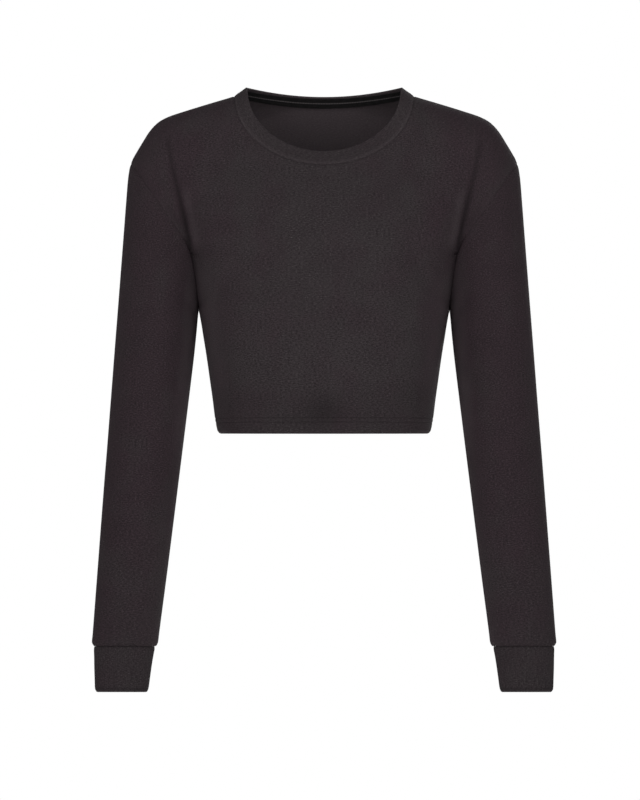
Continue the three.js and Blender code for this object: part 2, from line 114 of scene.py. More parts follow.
# %% Lamps
LAMPS = (  # name, place, the point it looks at, size in metres, power in watts
    ("left_softbox", (1.4, -2.7, 0.1), (0, 0, -0.3), 1.6, 19),
    ("right_softbox", (-1.4, -2.7, 0.1), (0, 0, -0.3), 1.6, 19),
    ("high_softbox", (0, -2.2, 1.9), (0, 0, -0.2), 1.2, 27),
    ("back_softbox", (0.8, 3.0, 0.6), (0, 0, -0.3), 1.6, 40),
)
for name, place, aim, size, power in LAMPS:
    lamp = bpy.data.objects.new(name, bpy.data.lights.new(name, "AREA"))
    lamp.data.shape = "SQUARE"
    lamp.data.size = size
    lamp.data.energy = power
    lamp.location = place
    away = lamp.location - Vector(aim)
    lamp.rotation_euler = away.to_track_quat("Z", "Y").to_euler()
    lamp.visible_camera = False
    bpy.context.scene.collection.objects.link(lamp)
bpy.context.scene.view_settings.view_transform = "Standard"
print("lamps", [lamp[0] for lamp in LAMPS])

# %% [markdown]
# ## Smooth curves through a few sizes
#
# Each form below is drawn by a few sections: a height, and how wide and deep the cloth is
# there. Blender's curve objects could draw them, but their handles can swing past the points,
# and the cloth would wave. Here the slope at each point is kept between the slopes on both
# sides. These are the part's own sizes, in millimetres, so the cloth lies on the CAD solids.

# %% Smooth curves
def curve(points, key=0, value=1):
    """A smooth curve through a table, from one of its columns to another."""
    rows = sorted(points, key=lambda row: row[key])
    at = np.array([row[key] for row in rows], float)
    level = np.array([row[value] for row in rows], float)
    slope = np.diff(level) / np.diff(at)
    tangent = np.concatenate([slope[:1], np.zeros(len(rows) - 2), slope[-1:]])
    for i in range(1, len(rows) - 1):
        if slope[i - 1] * slope[i] > 0:
            tangent[i] = 2 * slope[i - 1] * slope[i] / (slope[i - 1] + slope[i])

    def read(x):
        x = np.asarray(x, float)
        i = np.clip(np.searchsorted(at, x, side="right") - 1, 0, len(at) - 2)
        step = at[i + 1] - at[i]
        t = (x - at[i]) / step
        start = level[i] * (1 + 2 * t) * (1 - t) ** 2 + tangent[i] * step * t * (1 - t) ** 2
        end = level[i + 1] * t * t * (3 - 2 * t) - tangent[i + 1] * step * t * t * (1 - t)
        inside = start + end
        below = level[0] + tangent[0] * (x - at[0])
        above = level[-1] + tangent[-1] * (x - at[-1])
        return np.where(x <= at[0], below, np.where(x >= at[-1], above, inside))

    return read


def smooth(t):
    """Rises from 0 to 1 and is flat at both ends."""
    t = np.clip(t, 0, 1)
    return t * t * (3 - 2 * t)


def mix(a, b, share):
    return a + (b - a) * share


def quarter_round(t):
    """Rises from 0 to 1 as a quarter of a circle does, steep at first and flat at the end."""
    return np.sqrt(np.clip(1 - (1 - np.clip(t, 0, 1)) ** 2, 0, 1))


print("a quarter of the way, a smooth step is at", float(smooth(0.25)))

# %% [markdown]
# ## Sizes of the body and the sleeves
#
# The body is a tube of rounded sections that fills out from the shoulders and draws in to the
# hem. Each sleeve is a tube too, which leans outwards and swings a little forward below the
# elbow. They could be pulled into shape from cylinders by hand. Short tables of sections were
# chosen, because the CAD solids come from the same ones, so that cloth and solids agree.

# %% Sections of the body
HEM = -383
UNDERARM = -244
SLEEVE_END = -626
SEAM_GAP = 0.04  # what stays open between two pieces that are sewn together

BODY_SECTIONS = (  # height, half width, depth in front, depth behind
    (-383, 119.4, 103, 85),
    (-379.6, 121.6, 104, 86),
    (-340, 127.5, 107, 89),
    (-290, 134.7, 111, 93),
    (-244, 142.6, 113, 98),
    (-204, 150, 112, 102),
    (-180, 156.4, 110, 103),
    (-160, 169.3, 107, 103),
    (-131, 178, 101, 102),
    (-103, 192, 93, 99),
    (-78, 212, 84, 95),
    (-45, 226, 76, 90),
    (35, 232, 70, 84),
)
TOP_EDGE = (  # distance from the middle, height
    (-60, 14),
    (0, 31),
    (60, 14),
    (102.7, 0.6),
    (131.6, -8),
    (161.2, -17.1),
    (175.1, -21.7),
    (184.7, -26.2),
    (191.1, -30.8),
    (199.2, -39.9),
    (207.8, -53.6),
    (213.3, -62.7),
    (220.1, -76.4),
    (225.5, -117),
    (235.4, -245),
)
body_half_width = curve(BODY_SECTIONS)
body_front = curve(BODY_SECTIONS, value=2)
body_back = curve(BODY_SECTIONS, value=3)
top_edge = curve(TOP_EDGE)
print("hem", round(2 * float(body_half_width(HEM))), "mm wide")

# %% Sections of the sleeves and the cuffs
SLEEVE_SECTIONS = (  # height, outer edge, inner edge, half depth, middle
    (-626, 262.8, 191.1, 31.8, -20),
    (-621, 264.6, 189.2, 34, -20),
    (-612, 263.9, 188.1, 35.5, -19.5),
    (-545, 258.8, 179.3, 38.5, -14),
    (-442, 250.9, 166.3, 42.5, -6),
    (-340, 242.8, 153.6, 46, -1),
    (-288, 238.8, 147.4, 48, 0),
    (-245, 235.4, 143.2, 49, 0),
    (-160, 228.8, 135, 49.5, 0),
    (-117, 225.5, 131, 49.5, 0),
    (-95, 223.7, 128.7, 49, 0),
    (-85, 222.3, 127.8, 48.5, 0),
    (-76, 220.1, 127, 48, 0),
)
CUFF_SECTIONS = (
    (-677.6, 259.8, 201.6, 26.4, -22),
    (-674, 261.2, 200.2, 27.6, -22),
    (-664, 261.5, 198.8, 28.4, -21.5),
    (-647, 262, 196.4, 29.6, -21),
    (-626, 262.2, 192.9, 30.4, -20),
)
ARMHOLE_TOP = -76.4
SHOULDER_END = 220.1  # how far from the middle the dropped shoulder ends
ARMHOLE = (  # angle round the sleeve from its outer edge, height of the seam
    (0, ARMHOLE_TOP),
    (30, -83),
    (60, -104),
    (83, -126.5),
    (117, -160),
    (133, -180),
    (145, -203),
    (163, -231),
    (180, UNDERARM),
)
print("sleeve", len(SLEEVE_SECTIONS), "sections, cuff", len(CUFF_SECTIONS))

# %% Points on a tube
def tube(sections):
    """One smooth curve for each column of a table of sections."""
    names = ("outer", "inner", "depth", "middle")
    return {name: curve(sections, value=i + 1) for i, name in enumerate(names)}


sleeve_tube = tube(SLEEVE_SECTIONS)
cuff_tube = tube(CUFF_SECTIONS)
armhole_height = curve(ARMHOLE)


def tube_point(form, angle, height, inset=0):
    """A point on a tube. Angle 0 is its outer edge, 90 its front and 180 its inner edge."""
    turn = np.radians(angle)
    half_width = (form["outer"](height) - form["inner"](height)) / 2 - inset
    centre = (form["outer"](height) + form["inner"](height)) / 2
    half_depth = form["depth"](height) - inset
    x = centre + half_width * np.cos(turn)
    y = form["middle"](height) - half_depth * np.sin(turn)
    return np.stack(np.broadcast_arrays(x, y, height), axis=-1).astype(float)


elbow_width = sleeve_tube["outer"](-340) - sleeve_tube["inner"](-340)
print("sleeve", round(float(elbow_width)), "mm wide at the elbow")

# %% [markdown]
# ## How the chest runs into the arm
#
# A front and a back panel each cover half the chest and, with the dropped shoulder, the top of
# the arm. Two tubes could be joined with a boolean and smoothed, but the cloth would lose its
# rows and columns. So a panel's depth is worked out point by point: it is as deep as the
# deeper of the two forms. They blend over the shoulder and part in a sharp valley at the
# armpit, where the photo is darkest. A long fold leads down into that valley.

# %% Chest and arm
BODY_POWER = 2.4  # 2 gives an ellipse, and more gives fuller corners
SHOULDER_REACH = 190  # the chest rounds over in this distance below its top edge
SLEEVE_TOP = -76
BLEND_FOOT = -160  # above this height chest and arm begin to run into each other

edge_across = np.concatenate([np.linspace(-60, 180, 33), np.linspace(183, 235.4, 48)])
EDGE_POINTS = list(zip(edge_across, top_edge(edge_across)))


def distance_to_top_edge(across, height):
    """How far inside the top edge a point lies. It is 0 on the edge and outside it."""
    nearest = np.full(np.shape(across), np.inf)
    for (ax, az), (bx, bz) in zip(EDGE_POINTS, EDGE_POINTS[1:]):
        length = (bx - ax) ** 2 + (bz - az) ** 2
        t = np.clip(((across - ax) * (bx - ax) + (height - az) * (bz - az)) / length, 0, 1)
        gap = np.hypot(across - ax - (bx - ax) * t, height - az - (bz - az) * t)
        nearest = np.minimum(nearest, gap)
    return np.where(height > top_edge(across), 0, nearest)


def chest_depth(across, height, full):
    share = np.minimum(across / body_half_width(height), 1)
    section = (1 - share**BODY_POWER) ** (1 / BODY_POWER)
    return full * section * quarter_round((top_edge(across) - height) / SHOULDER_REACH)


def arm_depth(across, height):
    half_width = (sleeve_tube["outer"](height) - sleeve_tube["inner"](height)) / 2
    centre = (sleeve_tube["outer"](height) + sleeve_tube["inner"](height)) / 2
    full = sleeve_tube["depth"](np.minimum(height, SLEEVE_TOP))
    domed = full * quarter_round(distance_to_top_edge(across, height) / half_width)
    ring = full * np.sqrt(np.clip(1 - ((across - centre) / half_width) ** 2, 0, 1))
    on_shoulder = smooth((height - BLEND_FOOT) / 100)
    inner_side = mix(np.minimum(ring, domed), domed, on_shoulder)
    return np.where(height < UNDERARM, 0, np.where(across > centre, domed, inner_side))


print("chest", round(float(chest_depth(0, UNDERARM, body_front(UNDERARM)))), "mm deep in front")

# %% Depth of a panel
ARM_FOLD = (  # height, distance from the middle, sink, spread
    (-40, 178.5, 0, 14),
    (-73, 174, 3, 13),
    (-103, 168.2, 5, 13),
    (-132, 161.5, 6, 12),
    (-160, 156.5, 5, 12),
)
FOLD_TOP = -40
FOLD_FOOT = -180
WIDEST_BLEND = 30
HOLLOW_LEVEL = -370  # height of the low hollow above the middle of the hem
HOLLOW_DEPTH = 5
fold_across = curve(ARM_FOLD)
fold_sink = curve(ARM_FOLD, value=2)
fold_spread = curve(ARM_FOLD, value=3)


def low_hollow(across, height):
    return HOLLOW_DEPTH * np.exp(-(((height - HOLLOW_LEVEL) / 60) ** 2) - (across / 34) ** 2)


def panel_depth(side, signed_across, height):
    """Depth of a panel in front of (side -1) or behind (side 1) its side seams."""
    across, height = np.broadcast_arrays(np.abs(signed_across), np.asarray(height, float))
    chest = chest_depth(across, height, body_front(height) if side < 0 else body_back(height))
    arm = arm_depth(across, height)
    deeper = np.maximum(chest, arm)
    blend = np.minimum(WIDEST_BLEND, 0.6 * deeper) * smooth((height - BLEND_FOOT) / 50)
    safe = np.maximum(blend, 1e-9)
    overlap = np.where(blend > 0, np.maximum(blend - np.abs(chest - arm), 0) / safe, 0)
    away = (across - fold_across(height)) / fold_spread(height)
    in_fold = (height <= FOLD_TOP) & (height >= FOLD_FOOT)
    fold = np.where(in_fold, np.maximum(fold_sink(height), 0) * np.exp(-away * away), 0)
    hollow = low_hollow(across, height) if side < 0 else 0
    return deeper + overlap**2 * blend / 4 - fold - hollow


print("chest", round(float(panel_depth(-1, 0, -244) + panel_depth(1, 0, -244))), "mm deep")

# %% [markdown]
# ## Lines of the neck
#
# The neck has two lines: the seam where the rib band is sewn to the body, and the band's free
# edge, which leans in. Both are half an ellipse in front and a shallow curve behind. Each is
# worked out at once in three dimensions, because it has to lie on the panels.

# %% Neck lines
NECK_SEAM = dict(half_width=102.7, side_height=0.6, front_drop=78.1, back_drop=13.1)
NECK_EDGE = dict(half_width=88.8, side_height=10.9, front_drop=73, back_drop=11)
EDGE_SHARE = {-1: 0.91, 1: 0.86}  # how far out the free edge lies, in front and behind


def neck_line(line, side, turn):
    drop = line["front_drop"] * np.cos(turn) if side < 0 else line["back_drop"] * np.cos(turn) ** 2
    return line["half_width"] * np.sin(turn), line["side_height"] - drop


def neck_seam_point(side, turn):
    across, height = neck_line(NECK_SEAM, side, turn)
    depth = side * (panel_depth(side, across, height) + SEAM_GAP / 2)
    return np.stack([across, depth, height], axis=-1)


def neck_edge_point(side, turn):
    across, height = neck_line(NECK_EDGE, side, turn)
    depth = neck_seam_point(side, turn)[..., 1] * EDGE_SHARE[side]
    return np.stack([across, depth, height], axis=-1)


def lengths_along(points):
    steps = np.linalg.norm(np.diff(points, axis=0), axis=-1)
    return np.concatenate([np.zeros((1,) + steps.shape[1:]), np.cumsum(steps, axis=0)])


def neck_quarter(side):
    """Turns from the middle to the shoulder, and how long the neck seam is up to each."""
    turns = np.linspace(0, math.pi / 2, 800)
    return turns, lengths_along(neck_seam_point(side, turns))


def even_neck_turns(side, count):
    turns, length = neck_quarter(side)
    return np.interp(np.linspace(0, length[-1], count + 1), length, turns)


print("neck seam", round(2 * sum(neck_quarter(side)[1][-1] for side in (-1, 1))), "mm round")

# %% [markdown]
# ## Rows and columns of a panel
#
# Cloth is drawn as a grid that runs with the knit: rows across and columns up. Straight rows
# climb from the hem to the underarm. Above it each row leans towards the shoulder seam, until
# the last one is the neck and the shoulder themselves, and each ends on the armhole. Rows lie
# closer at the hem, where two lines of stitches press in. A panel could be cut out of a plain
# sheet, but its neck and armhole would be ragged, and its knit wouldn't follow the cut.

# %% Rows of a panel
NECK_SHARE = 0.75  # the part of a row whose columns end at the neck, and not at the shoulder
SHOULDER_BEND = 190  # from here outwards the shoulder seam bends down
PULL_REACH = (4, 14)  # how far in the sleeve pulls the panel, at the underarm and above it


def shoulder_line(share):
    straight = np.linspace(NECK_SEAM["half_width"], SHOULDER_BEND, 120)
    bent = np.linspace(SHOULDER_BEND, SHOULDER_END, 160)[1:]
    across = np.concatenate([straight, bent])
    points = np.stack([across, top_edge(across)], axis=-1)
    length = lengths_along(points)
    wanted = np.asarray(share) * length[-1]
    return np.interp(wanted, length, points[:, 0]), np.interp(wanted, length, points[:, 1])


def panel_row(side, level, share, turn_table):
    """One row of half a panel.

    Level 0 is the underarm and 1 the top edge. A level below 0 is a height in millimetres.
    """
    spread = np.sin(share * math.pi / 2)
    if level < 0:
        height = np.full_like(share, level)
        across = body_half_width(height) * spread
        depth = panel_depth(side, across, height)
        return np.stack([across, side * (depth + SEAM_GAP / 2), height], axis=-1)
    at_neck = neck_line(NECK_SEAM, side, np.interp(share / NECK_SHARE, *turn_table))
    at_shoulder = shoulder_line(np.clip((share - NECK_SHARE) / (1 - NECK_SHARE), 0, 1))
    top = [np.where(share <= NECK_SHARE, a, b) for a, b in zip(at_neck, at_shoulder)]
    angle = 180 * (1 - level)
    rise = math.sin(level * math.pi / 2)
    edge = tube_point(sleeve_tube, angle, float(armhole_height(angle)))
    edge[0] += SEAM_GAP * min(math.cos(math.radians(angle)), 0)
    underarm = float(body_half_width(UNDERARM))
    shift_x = edge[0] - mix(underarm, SHOULDER_END, level)
    shift_z = edge[2] - mix(UNDERARM, ARMHOLE_TOP, rise)
    across = mix(underarm * spread, top[0], level) + spread * shift_x
    height = mix(UNDERARM, top[1], rise) + spread * shift_z
    pull = abs(edge[1]) - float(panel_depth(side, edge[0], edge[2])) if level < 1 else 0
    reach = mix(*PULL_REACH, smooth(level / 0.15))
    reach = np.hypot(across - edge[0], height - edge[2]) / reach
    depth = np.maximum(panel_depth(side, across, height), 0) + pull * np.exp(-reach * reach)
    depth = depth + SEAM_GAP / 2
    if level == 1:
        depth = np.where(share >= NECK_SHARE, SEAM_GAP / 2, depth)
    return np.stack([across, side * depth, height], axis=-1)


print("shoulder seam from", [round(float(end)) for end in shoulder_line(0)], "mm")

# %% Half a panel
NECK_CELLS = 44
SHOULDER_CELLS = 34
UPPER_ROWS = 87
LOWER_ROWS = 42
HEM_ROWS = (  # heights above the hem
    (0, 0.7, 1.6, 3, 5, 7.5, 10)
    + (11.4, 12.1, 12.6, 13.1, 13.8, 15.1)
    + (16.4, 17.1, 17.6, 18.1, 18.9)
)
ABOVE_HEM_ROWS = 21


def respaced(points, marks):
    """The same line with its points at these lengths from its start."""
    length = lengths_along(points)
    wanted = marks * length[-1]
    return np.stack([np.interp(wanted, length, points[:, i]) for i in range(3)], axis=-1)


def toward_edge(cells, edge_share):
    """Shares from 0 to 1 in even cells, with two narrow ones at the end."""
    even = np.linspace(0, 1 - 3 * edge_share, cells - 1)
    return np.concatenate([even, [1 - 1.2 * edge_share, 1]])


def half_panel(side):
    turn_table = (np.linspace(0, 1, 201), even_neck_turns(side, 200))
    neck_part = np.linspace(0, NECK_SHARE, 260)
    shoulder_part = np.linspace(NECK_SHARE, 1, 300)
    levels = [HEM + up for up in HEM_ROWS]
    levels += list(np.linspace(HEM + ABOVE_HEM_ROWS, UNDERARM, LOWER_ROWS)[:-1])
    levels += list(np.linspace(0, 1, UPPER_ROWS))
    rows = []
    for level in levels:
        first = panel_row(side, level, neck_part, turn_table)
        second = panel_row(side, level, shoulder_part, turn_table)
        first = respaced(first, np.linspace(0, 1, NECK_CELLS + 1))
        second = respaced(second, toward_edge(SHOULDER_CELLS, 0.01))
        rows.append(np.concatenate([first, second[1:]]))
    return np.array(rows)


front_half = half_panel(-1)
back_half = half_panel(1)
print("half a front panel", front_half.shape[:2], "points")

# %% [markdown]
# ## Walls of cloth
#
# Real jersey is about 1.6 mm thick, so each piece is a closed shell: an outer grid, the same
# grid a thickness further in, and narrow faces that join the two round the edges. A Solidify
# modifier could thicken a sheet, but its rim is flat and both its sides carry the same values,
# so the shell is built here. A folded edge, such as the hem, is rounded by one more row of
# points between the two grids.
#
# The shell also carries a map that unrolls the cloth in metres, for the knit, and some values
# for each point, such as how far it is from the nearest seam. Materials read both.

# %% Directions and lengths on a grid
def unit(vectors):
    return vectors / np.linalg.norm(vectors, axis=-1, keepdims=True)


def outward(grid, ring):
    """The direction out of the cloth at each point. A ring closes on itself."""
    if ring:
        along = np.roll(grid, -1, axis=1) - np.roll(grid, 1, axis=1)
    else:
        along = np.gradient(grid, axis=1)
    return unit(np.cross(along, np.gradient(grid, axis=0)))


def lengths_across(grid):
    return lengths_along(grid.swapaxes(0, 1)).swapaxes(0, 1)


def closed(grid, ring):
    """The grid, with its first column once more at the end if it is a ring."""
    return np.concatenate([grid, grid[:, :1]], axis=1) if ring else grid


def cloth_map(grid, ring):
    """Lengths across and up the cloth in metres, as if it were laid flat."""
    grid = closed(grid, ring)
    across = lengths_across(grid)
    return np.stack([across - across[:, -1:] / 2, lengths_along(grid)], axis=-1) * MM


def cloth_area(grid, ring):
    """Area of one side of the cloth, in square metres."""
    grid = closed(grid, ring)
    a = grid[1:, 1:] - grid[:-1, :-1]
    b = grid[1:, :-1] - grid[:-1, 1:]
    return float(np.linalg.norm(np.cross(a, b), axis=-1).sum() / 2) * MM * MM


print("half a front panel", round(cloth_area(front_half, False), 4), "square metres")

# %% Faces of a wall
def sheet_faces(rows, columns, ring):
    """Corners of each cell of a grid as (row, column), anticlockwise seen from outside."""
    spans = columns if ring else columns - 1
    for r in range(rows - 1):
        for c in range(spans):
            yield (r, c), (r, c + 1), (r + 1, c + 1), (r + 1, c)


def rim_faces(rows, columns, ring):
    """Pairs of neighbours round the edges of a grid, with the cloth to the left of each."""
    spans = columns if ring else columns - 1
    for c in range(spans):
        yield "low", (0, c), (0, c + 1)
        yield "high", (rows - 1, c + 1), (rows - 1, c)
    if not ring:
        for r in range(rows - 1):
            yield "side", (r + 1, 0), (r, 0)
            yield "side", (r, columns - 1), (r + 1, columns - 1)


print("a grid of 3 by 4 points has", len(list(sheet_faces(3, 4, False))), "cells")

# %% Cloth as an object
SMOOTH_UP_TO = math.radians(50)  # a sharper corner than this is shown as an edge


def cloth_object(name, points, faces, places, unrolled, kept):
    """A mesh of these points, with its map and the values that are kept for each point."""
    mesh = bpy.data.meshes.new(name)
    mesh.from_pydata((points * MM).tolist(), [], faces)
    layer = mesh.uv_layers.new(name="cloth")
    at = np.array([place for face in places for place in face])
    layer.data.foreach_set("uv", unrolled[at[:, 0], at[:, 1]].astype(np.float32).ravel())
    for key, parts in kept.items():
        attribute = mesh.attributes.new(key, "FLOAT", "POINT")
        attribute.data.foreach_set("value", np.concatenate(parts).astype(np.float32))
    piece = bpy.data.objects.new(name, mesh)
    bpy.context.scene.collection.objects.link(piece)
    bpy.ops.object.select_all(action="DESELECT")
    piece.select_set(True)
    bpy.context.view_layer.objects.active = piece
    bpy.ops.object.shade_smooth_by_angle(angle=SMOOTH_UP_TO)
    print(name, len(mesh.vertices), "points,", 2 * len(mesh.polygons), "triangles at most")
    return piece


print("shaded smooth up to", round(math.degrees(SMOOTH_UP_TO)), "degrees")

# %% Wall of cloth
FOLD_BULGE = 0.8  # how far a fold stands out, as a share of half its thickness


def wall(name, outer, inner, ring, folded=(), values={}):
    """A closed shell between two grids, with the edges in folded rounded off."""
    rows, columns = outer.shape[:2]
    count = rows * columns
    points = [outer.reshape(-1, 3), inner.reshape(-1, 3)]
    kept = {key: [value.ravel()] * 2 for key, value in values.items()}
    # Which face a point lies on, 0 outside and 1 inside: the inner face is painted paler later.
    reverse = [np.zeros(count), np.ones(count)]
    middle_row = {}
    for edge, r, before in (("low", 0, 1), ("high", rows - 1, rows - 2)):
        if edge in folded:
            out = unit(outer[r] - outer[before])
            half = np.linalg.norm(outer[r] - inner[r], axis=-1, keepdims=True) / 2
            middle_row[edge] = sum(len(part) for part in points)
            points.append((outer[r] + inner[r]) / 2 + out * half * FOLD_BULGE)
            reverse.append(np.full(columns, 0.5))
            for key in kept:
                kept[key].append(values[key][r])
    kept["reverse"] = reverse

    def number(place):
        return place[0] * columns + place[1] % columns

    faces, places = [], []
    for cell in sheet_faces(rows, columns, ring):
        corners = [number(place) for place in cell]
        faces += [corners, [corner + count for corner in corners][::-1]]
        places += [cell, cell[::-1]]
    for edge, a, b in rim_faces(rows, columns, ring):
        first, last = number(a), number(b)
        if edge not in middle_row:
            faces.append([first, first + count, last + count, last])
            places.append([a, a, b, b])
            continue
        am, bm = (middle_row[edge] + place[1] % columns for place in (a, b))
        faces += [[first, am, bm, last], [am, first + count, last + count, bm]]
        places += [[a, a, b, b]] * 2
    for edge, start in middle_row.items():
        for c in (0, columns - 1) if not ring else ():
            corner = (0 if edge == "low" else rows - 1, c)
            turned = 1 if (c == 0) == (edge == "low") else -1
            ends = [number(corner), number(corner) + count, start + c]
            faces.append(ends[::turned])
            places.append([corner] * 3)
    print("cloth", round(cloth_area(outer, ring), 4), "square metres")
    return cloth_object(name, np.concatenate(points), faces, places, cloth_map(outer, ring), kept)


print("a fold stands out by", FOLD_BULGE, "of half its thickness")

# %% [markdown]
# ## Soft creases
#
# The top is nearly smooth, but cloth that hangs from two shoulders never is quite. A cloth
# simulation could crease it, but hardly where the photo does. So each crease is placed one by
# one: a line from a start to an end, a width and a depth, where a minus is a trough. It fades
# in and out at different speeds and bows a little, so no two look alike. The photo shows only
# the front. The back and the undersides get the same kind of creases.

# %% Soft creases
def creased(creases, x, z):
    """How far the creases lift the cloth at each point. It is below 0 in a trough."""
    total = np.zeros(np.broadcast(x, z).shape)
    for (ax, az), (bx, bz), width, depth, bow in creases:
        length = math.hypot(bx - ax, bz - az)
        along = ((x - ax) * (bx - ax) + (z - az) * (bz - az)) / length**2
        across = ((x - ax) * (bz - az) - (z - az) * (bx - ax)) / length
        across = across - bow * 4 * along * (1 - along)
        widening = width * (0.75 + 0.5 * np.clip(along, 0, 1))
        fade = smooth(along / 0.3) * smooth((1 - along) / 0.45)
        total = total + depth * fade * np.exp(-((across / widening) ** 2))
    return total


FRONT_CREASES = (  # start, end, width, depth, bow
    ((-141, -240), (-84, -158), 9, -1.7, 7),
    ((-138, -247), (-72, -216), 8, -1.1, -5),
    ((139, -238), (92, -142), 8, -1.5, -8),
    ((140, -249), (64, -228), 9, -1.2, 6),
    ((-128, -252), (-101, -345), 10, -1.1, 4),
    ((127, -256), (108, -330), 8, -0.9, -4),
    ((-40, -292), (-30, -386), 11, -0.9, -4),
    ((37, -305), (33, -386), 9, -0.8, 4),
    ((-3, -318), (4, -386), 12, 0.7, 2),
    ((-72, -84), (-118, -160), 12, -0.7, 5),
    ((66, -92), (102, -150), 10, -0.6, -6),
    ((-116, -14), (-163, -70), 9, -0.8, 4),
    ((121, -16), (160, -60), 10, -0.7, -4),
    ((-86, -330), (-70, -386), 10, -0.6, 3),
    ((80, -340), (88, -386), 9, -0.7, -3),
)
BACK_CREASES = (
    ((-140, -240), (-70, -176), 10, -1.9, 8),
    ((-139, -249), (-60, -232), 9, -1.3, -6),
    ((141, -241), (86, -160), 9, -1.8, -7),
    ((138, -250), (52, -222), 10, -1.2, 6),
    ((-30, -60), (-96, -120), 14, -0.9, 6),
    ((36, -58), (88, -126), 13, -0.8, -6),
    ((-12, -206), (-20, -384), 14, -1.3, 5),
    ((31, -236), (26, -386), 12, -1.1, -4),
    ((7, -250), (2, -384), 10, 0.8, 3),
    ((-98, -262), (-78, -386), 11, -1.0, 4),
    ((95, -290), (83, -386), 10, -0.9, -5),
    ((-118, -16), (-166, -78), 10, -0.9, 4),
    ((114, -15), (168, -72), 11, -0.8, -5),
)
print(len(FRONT_CREASES), "creases in front,", len(BACK_CREASES), "behind")

# %% [markdown]
# ## Neckband, first as a single surface
#
# The neckband is a strip of rib, folded double and stretched on to the neck seam. Its outer
# face runs in straight steps from the seam to the free edge. The panels need its slope where
# they meet it, so that both walls end in the same plane, and so it is drawn before them.

# %% Surface of the neckband
BAND_STEPS = np.array([0, 0.03, 0.07, 0.13, 0.22, 0.34, 0.48, 0.62, 0.75, 0.86, 0.94, 1])


def band_surface():
    front, back = (even_neck_turns(side, NECK_CELLS) for side in (-1, 1))
    quarters = [(-1, front, 1), (1, back[::-1], 1), (1, back, -1), (-1, front[::-1], -1)]
    columns = []
    for side, turns, hand in quarters:
        seam, edge = neck_seam_point(side, turns[:-1]), neck_edge_point(side, turns[:-1])
        start = (SEAM_GAP / np.linalg.norm(edge - seam, axis=-1))[:, None]
        rows = [seam + (edge - seam) * (start + (1 - start) * step) for step in BAND_STEPS]
        columns.append(np.array(rows) * (hand, 1, 1))
    return np.concatenate(columns, axis=1)


band_outer = band_surface()
band_out = outward(band_outer, True)
print("neckband", round(float(lengths_along(band_outer)[-1, 0]), 1), "mm wide in front")

# %% [markdown]
# ## Front and back panels
#
# Each panel is its half and a mirror copy of it, with creases that differ from side to side. A
# Mirror modifier would make both sides alike, so the copy is made first. At a seam the cloth
# rolls in by a little, because the seam holds it, and a few millimetres further on it puffs
# out over the seam allowance inside. The hem is turned up and doubled, and its two rows of
# stitches draw the cloth in. Two walls that meet share their directions there, so that both
# end in the same plane.

# %% Directions of the panels


def whole_panel(half, side):
    whole = np.concatenate([half[:, :0:-1] * (-1, 1, 1), half], axis=1)
    return whole if side < 0 else whole[:, ::-1]


def panel_directions(grid, side):
    """The direction out of the cloth, turned at each seam to suit the piece it is sewn to."""
    normal = outward(grid, False)
    upper = grid.shape[0] - UPPER_ROWS
    normal[0, :, 2] = 0
    turn = np.radians(180 * (1 - np.linspace(0, 1, UPPER_ROWS)))
    for column in (0, -1):
        sign = np.sign(grid[0, column, 0])
        normal[:upper, column] = (sign, 0, 0)
        at_sleeve = np.stack([sign * np.cos(turn), side * np.sin(turn), 0 * turn], axis=-1)
        own = unit(normal[upper:, column] * (1, 1, 0))
        share = smooth((np.degrees(turn) - 115) / 35)[:, None]
        normal[upper:, column] = mix(at_sleeve, own, share)
    centre = grid.shape[1] // 2
    for step in range(-NECK_CELLS, NECK_CELLS + 1):
        column = centre + step
        around = step if side < 0 else 2 * NECK_CELLS + step
        joined = normal[-1, column] + band_out[0, around % (4 * NECK_CELLS)]
        joined[1] *= 1 - smooth((abs(step) - NECK_CELLS + 5) / 5)
        normal[-1, column] = joined
    normal[-1, : centre - NECK_CELLS, 1] = 0
    normal[-1, centre + NECK_CELLS + 1 :, 1] = 0
    return unit(normal)


print("the upper", UPPER_ROWS, "rows end at the armhole")

# %% Seams and hem
JERSEY = 1.6
HEM_DOUBLED = 2.6
HEM_TURN = 17
STITCH_ROWS = (12.6, 17.6)


def seam_roll(distance):
    """How far the cloth stands out near a seam: it dips at the seam and puffs beside it."""
    return 0.25 * np.exp(-(((distance - 5) / 3) ** 2)) - 0.4 * np.exp(-((distance / 1.3) ** 2))


def stitch_press(from_edge):
    return sum(-0.35 * np.exp(-(((from_edge - row) / 0.7) ** 2)) for row in STITCH_ROWS)


def panel_lengths(grid):
    """How far each point is from the nearest seam, and from the hem."""
    across, up = lengths_across(grid), lengths_along(grid)
    to_side = np.minimum(across, across[:, -1:] - across)
    return dict(seam=np.minimum(to_side, up[-1:] - up), hem=up + 0 * across)


print("a seam dips by", round(-float(seam_roll(0)), 2), "mm")

# %% [markdown]
# ### Crease between chest and arm
#
# The photo's darkest line runs from the armpit up to the shoulder, where the chest meets the
# arm. Light hardly reaches the bottom of so narrow a crease. It is a shallow groove in the
# cloth, and the rest of its shade is painted: a value for each point darkens the yarn. The
# same value holds the painted shade of the low hollow, and below 0 it paints light: a pale
# line on the crest beside the crease, and paler sides of the body next to the sleeves.

# %% Crease between chest and arm
CREASE_TOP = -42
CREASE_WIDTH = 2.8
ARM_CREASE = (  # height, distance from the middle, strength
    (UNDERARM, 142, 0),
    (-226, 144.2, 0.05),
    (-204, 147.7, 0.3),
    (-180, 151.9, 0.75),
    (-155.7, 157, 1),
    (-131, 162, 0.95),
    (-102.6, 168.2, 0.8),
    (-78.7, 173.4, 0.65),
    (-56, 177.3, 0.55),
    (CREASE_TOP, 179, 0),
)
crease_across = curve(ARM_CREASE)
crease_strength = curve(ARM_CREASE, value=2)


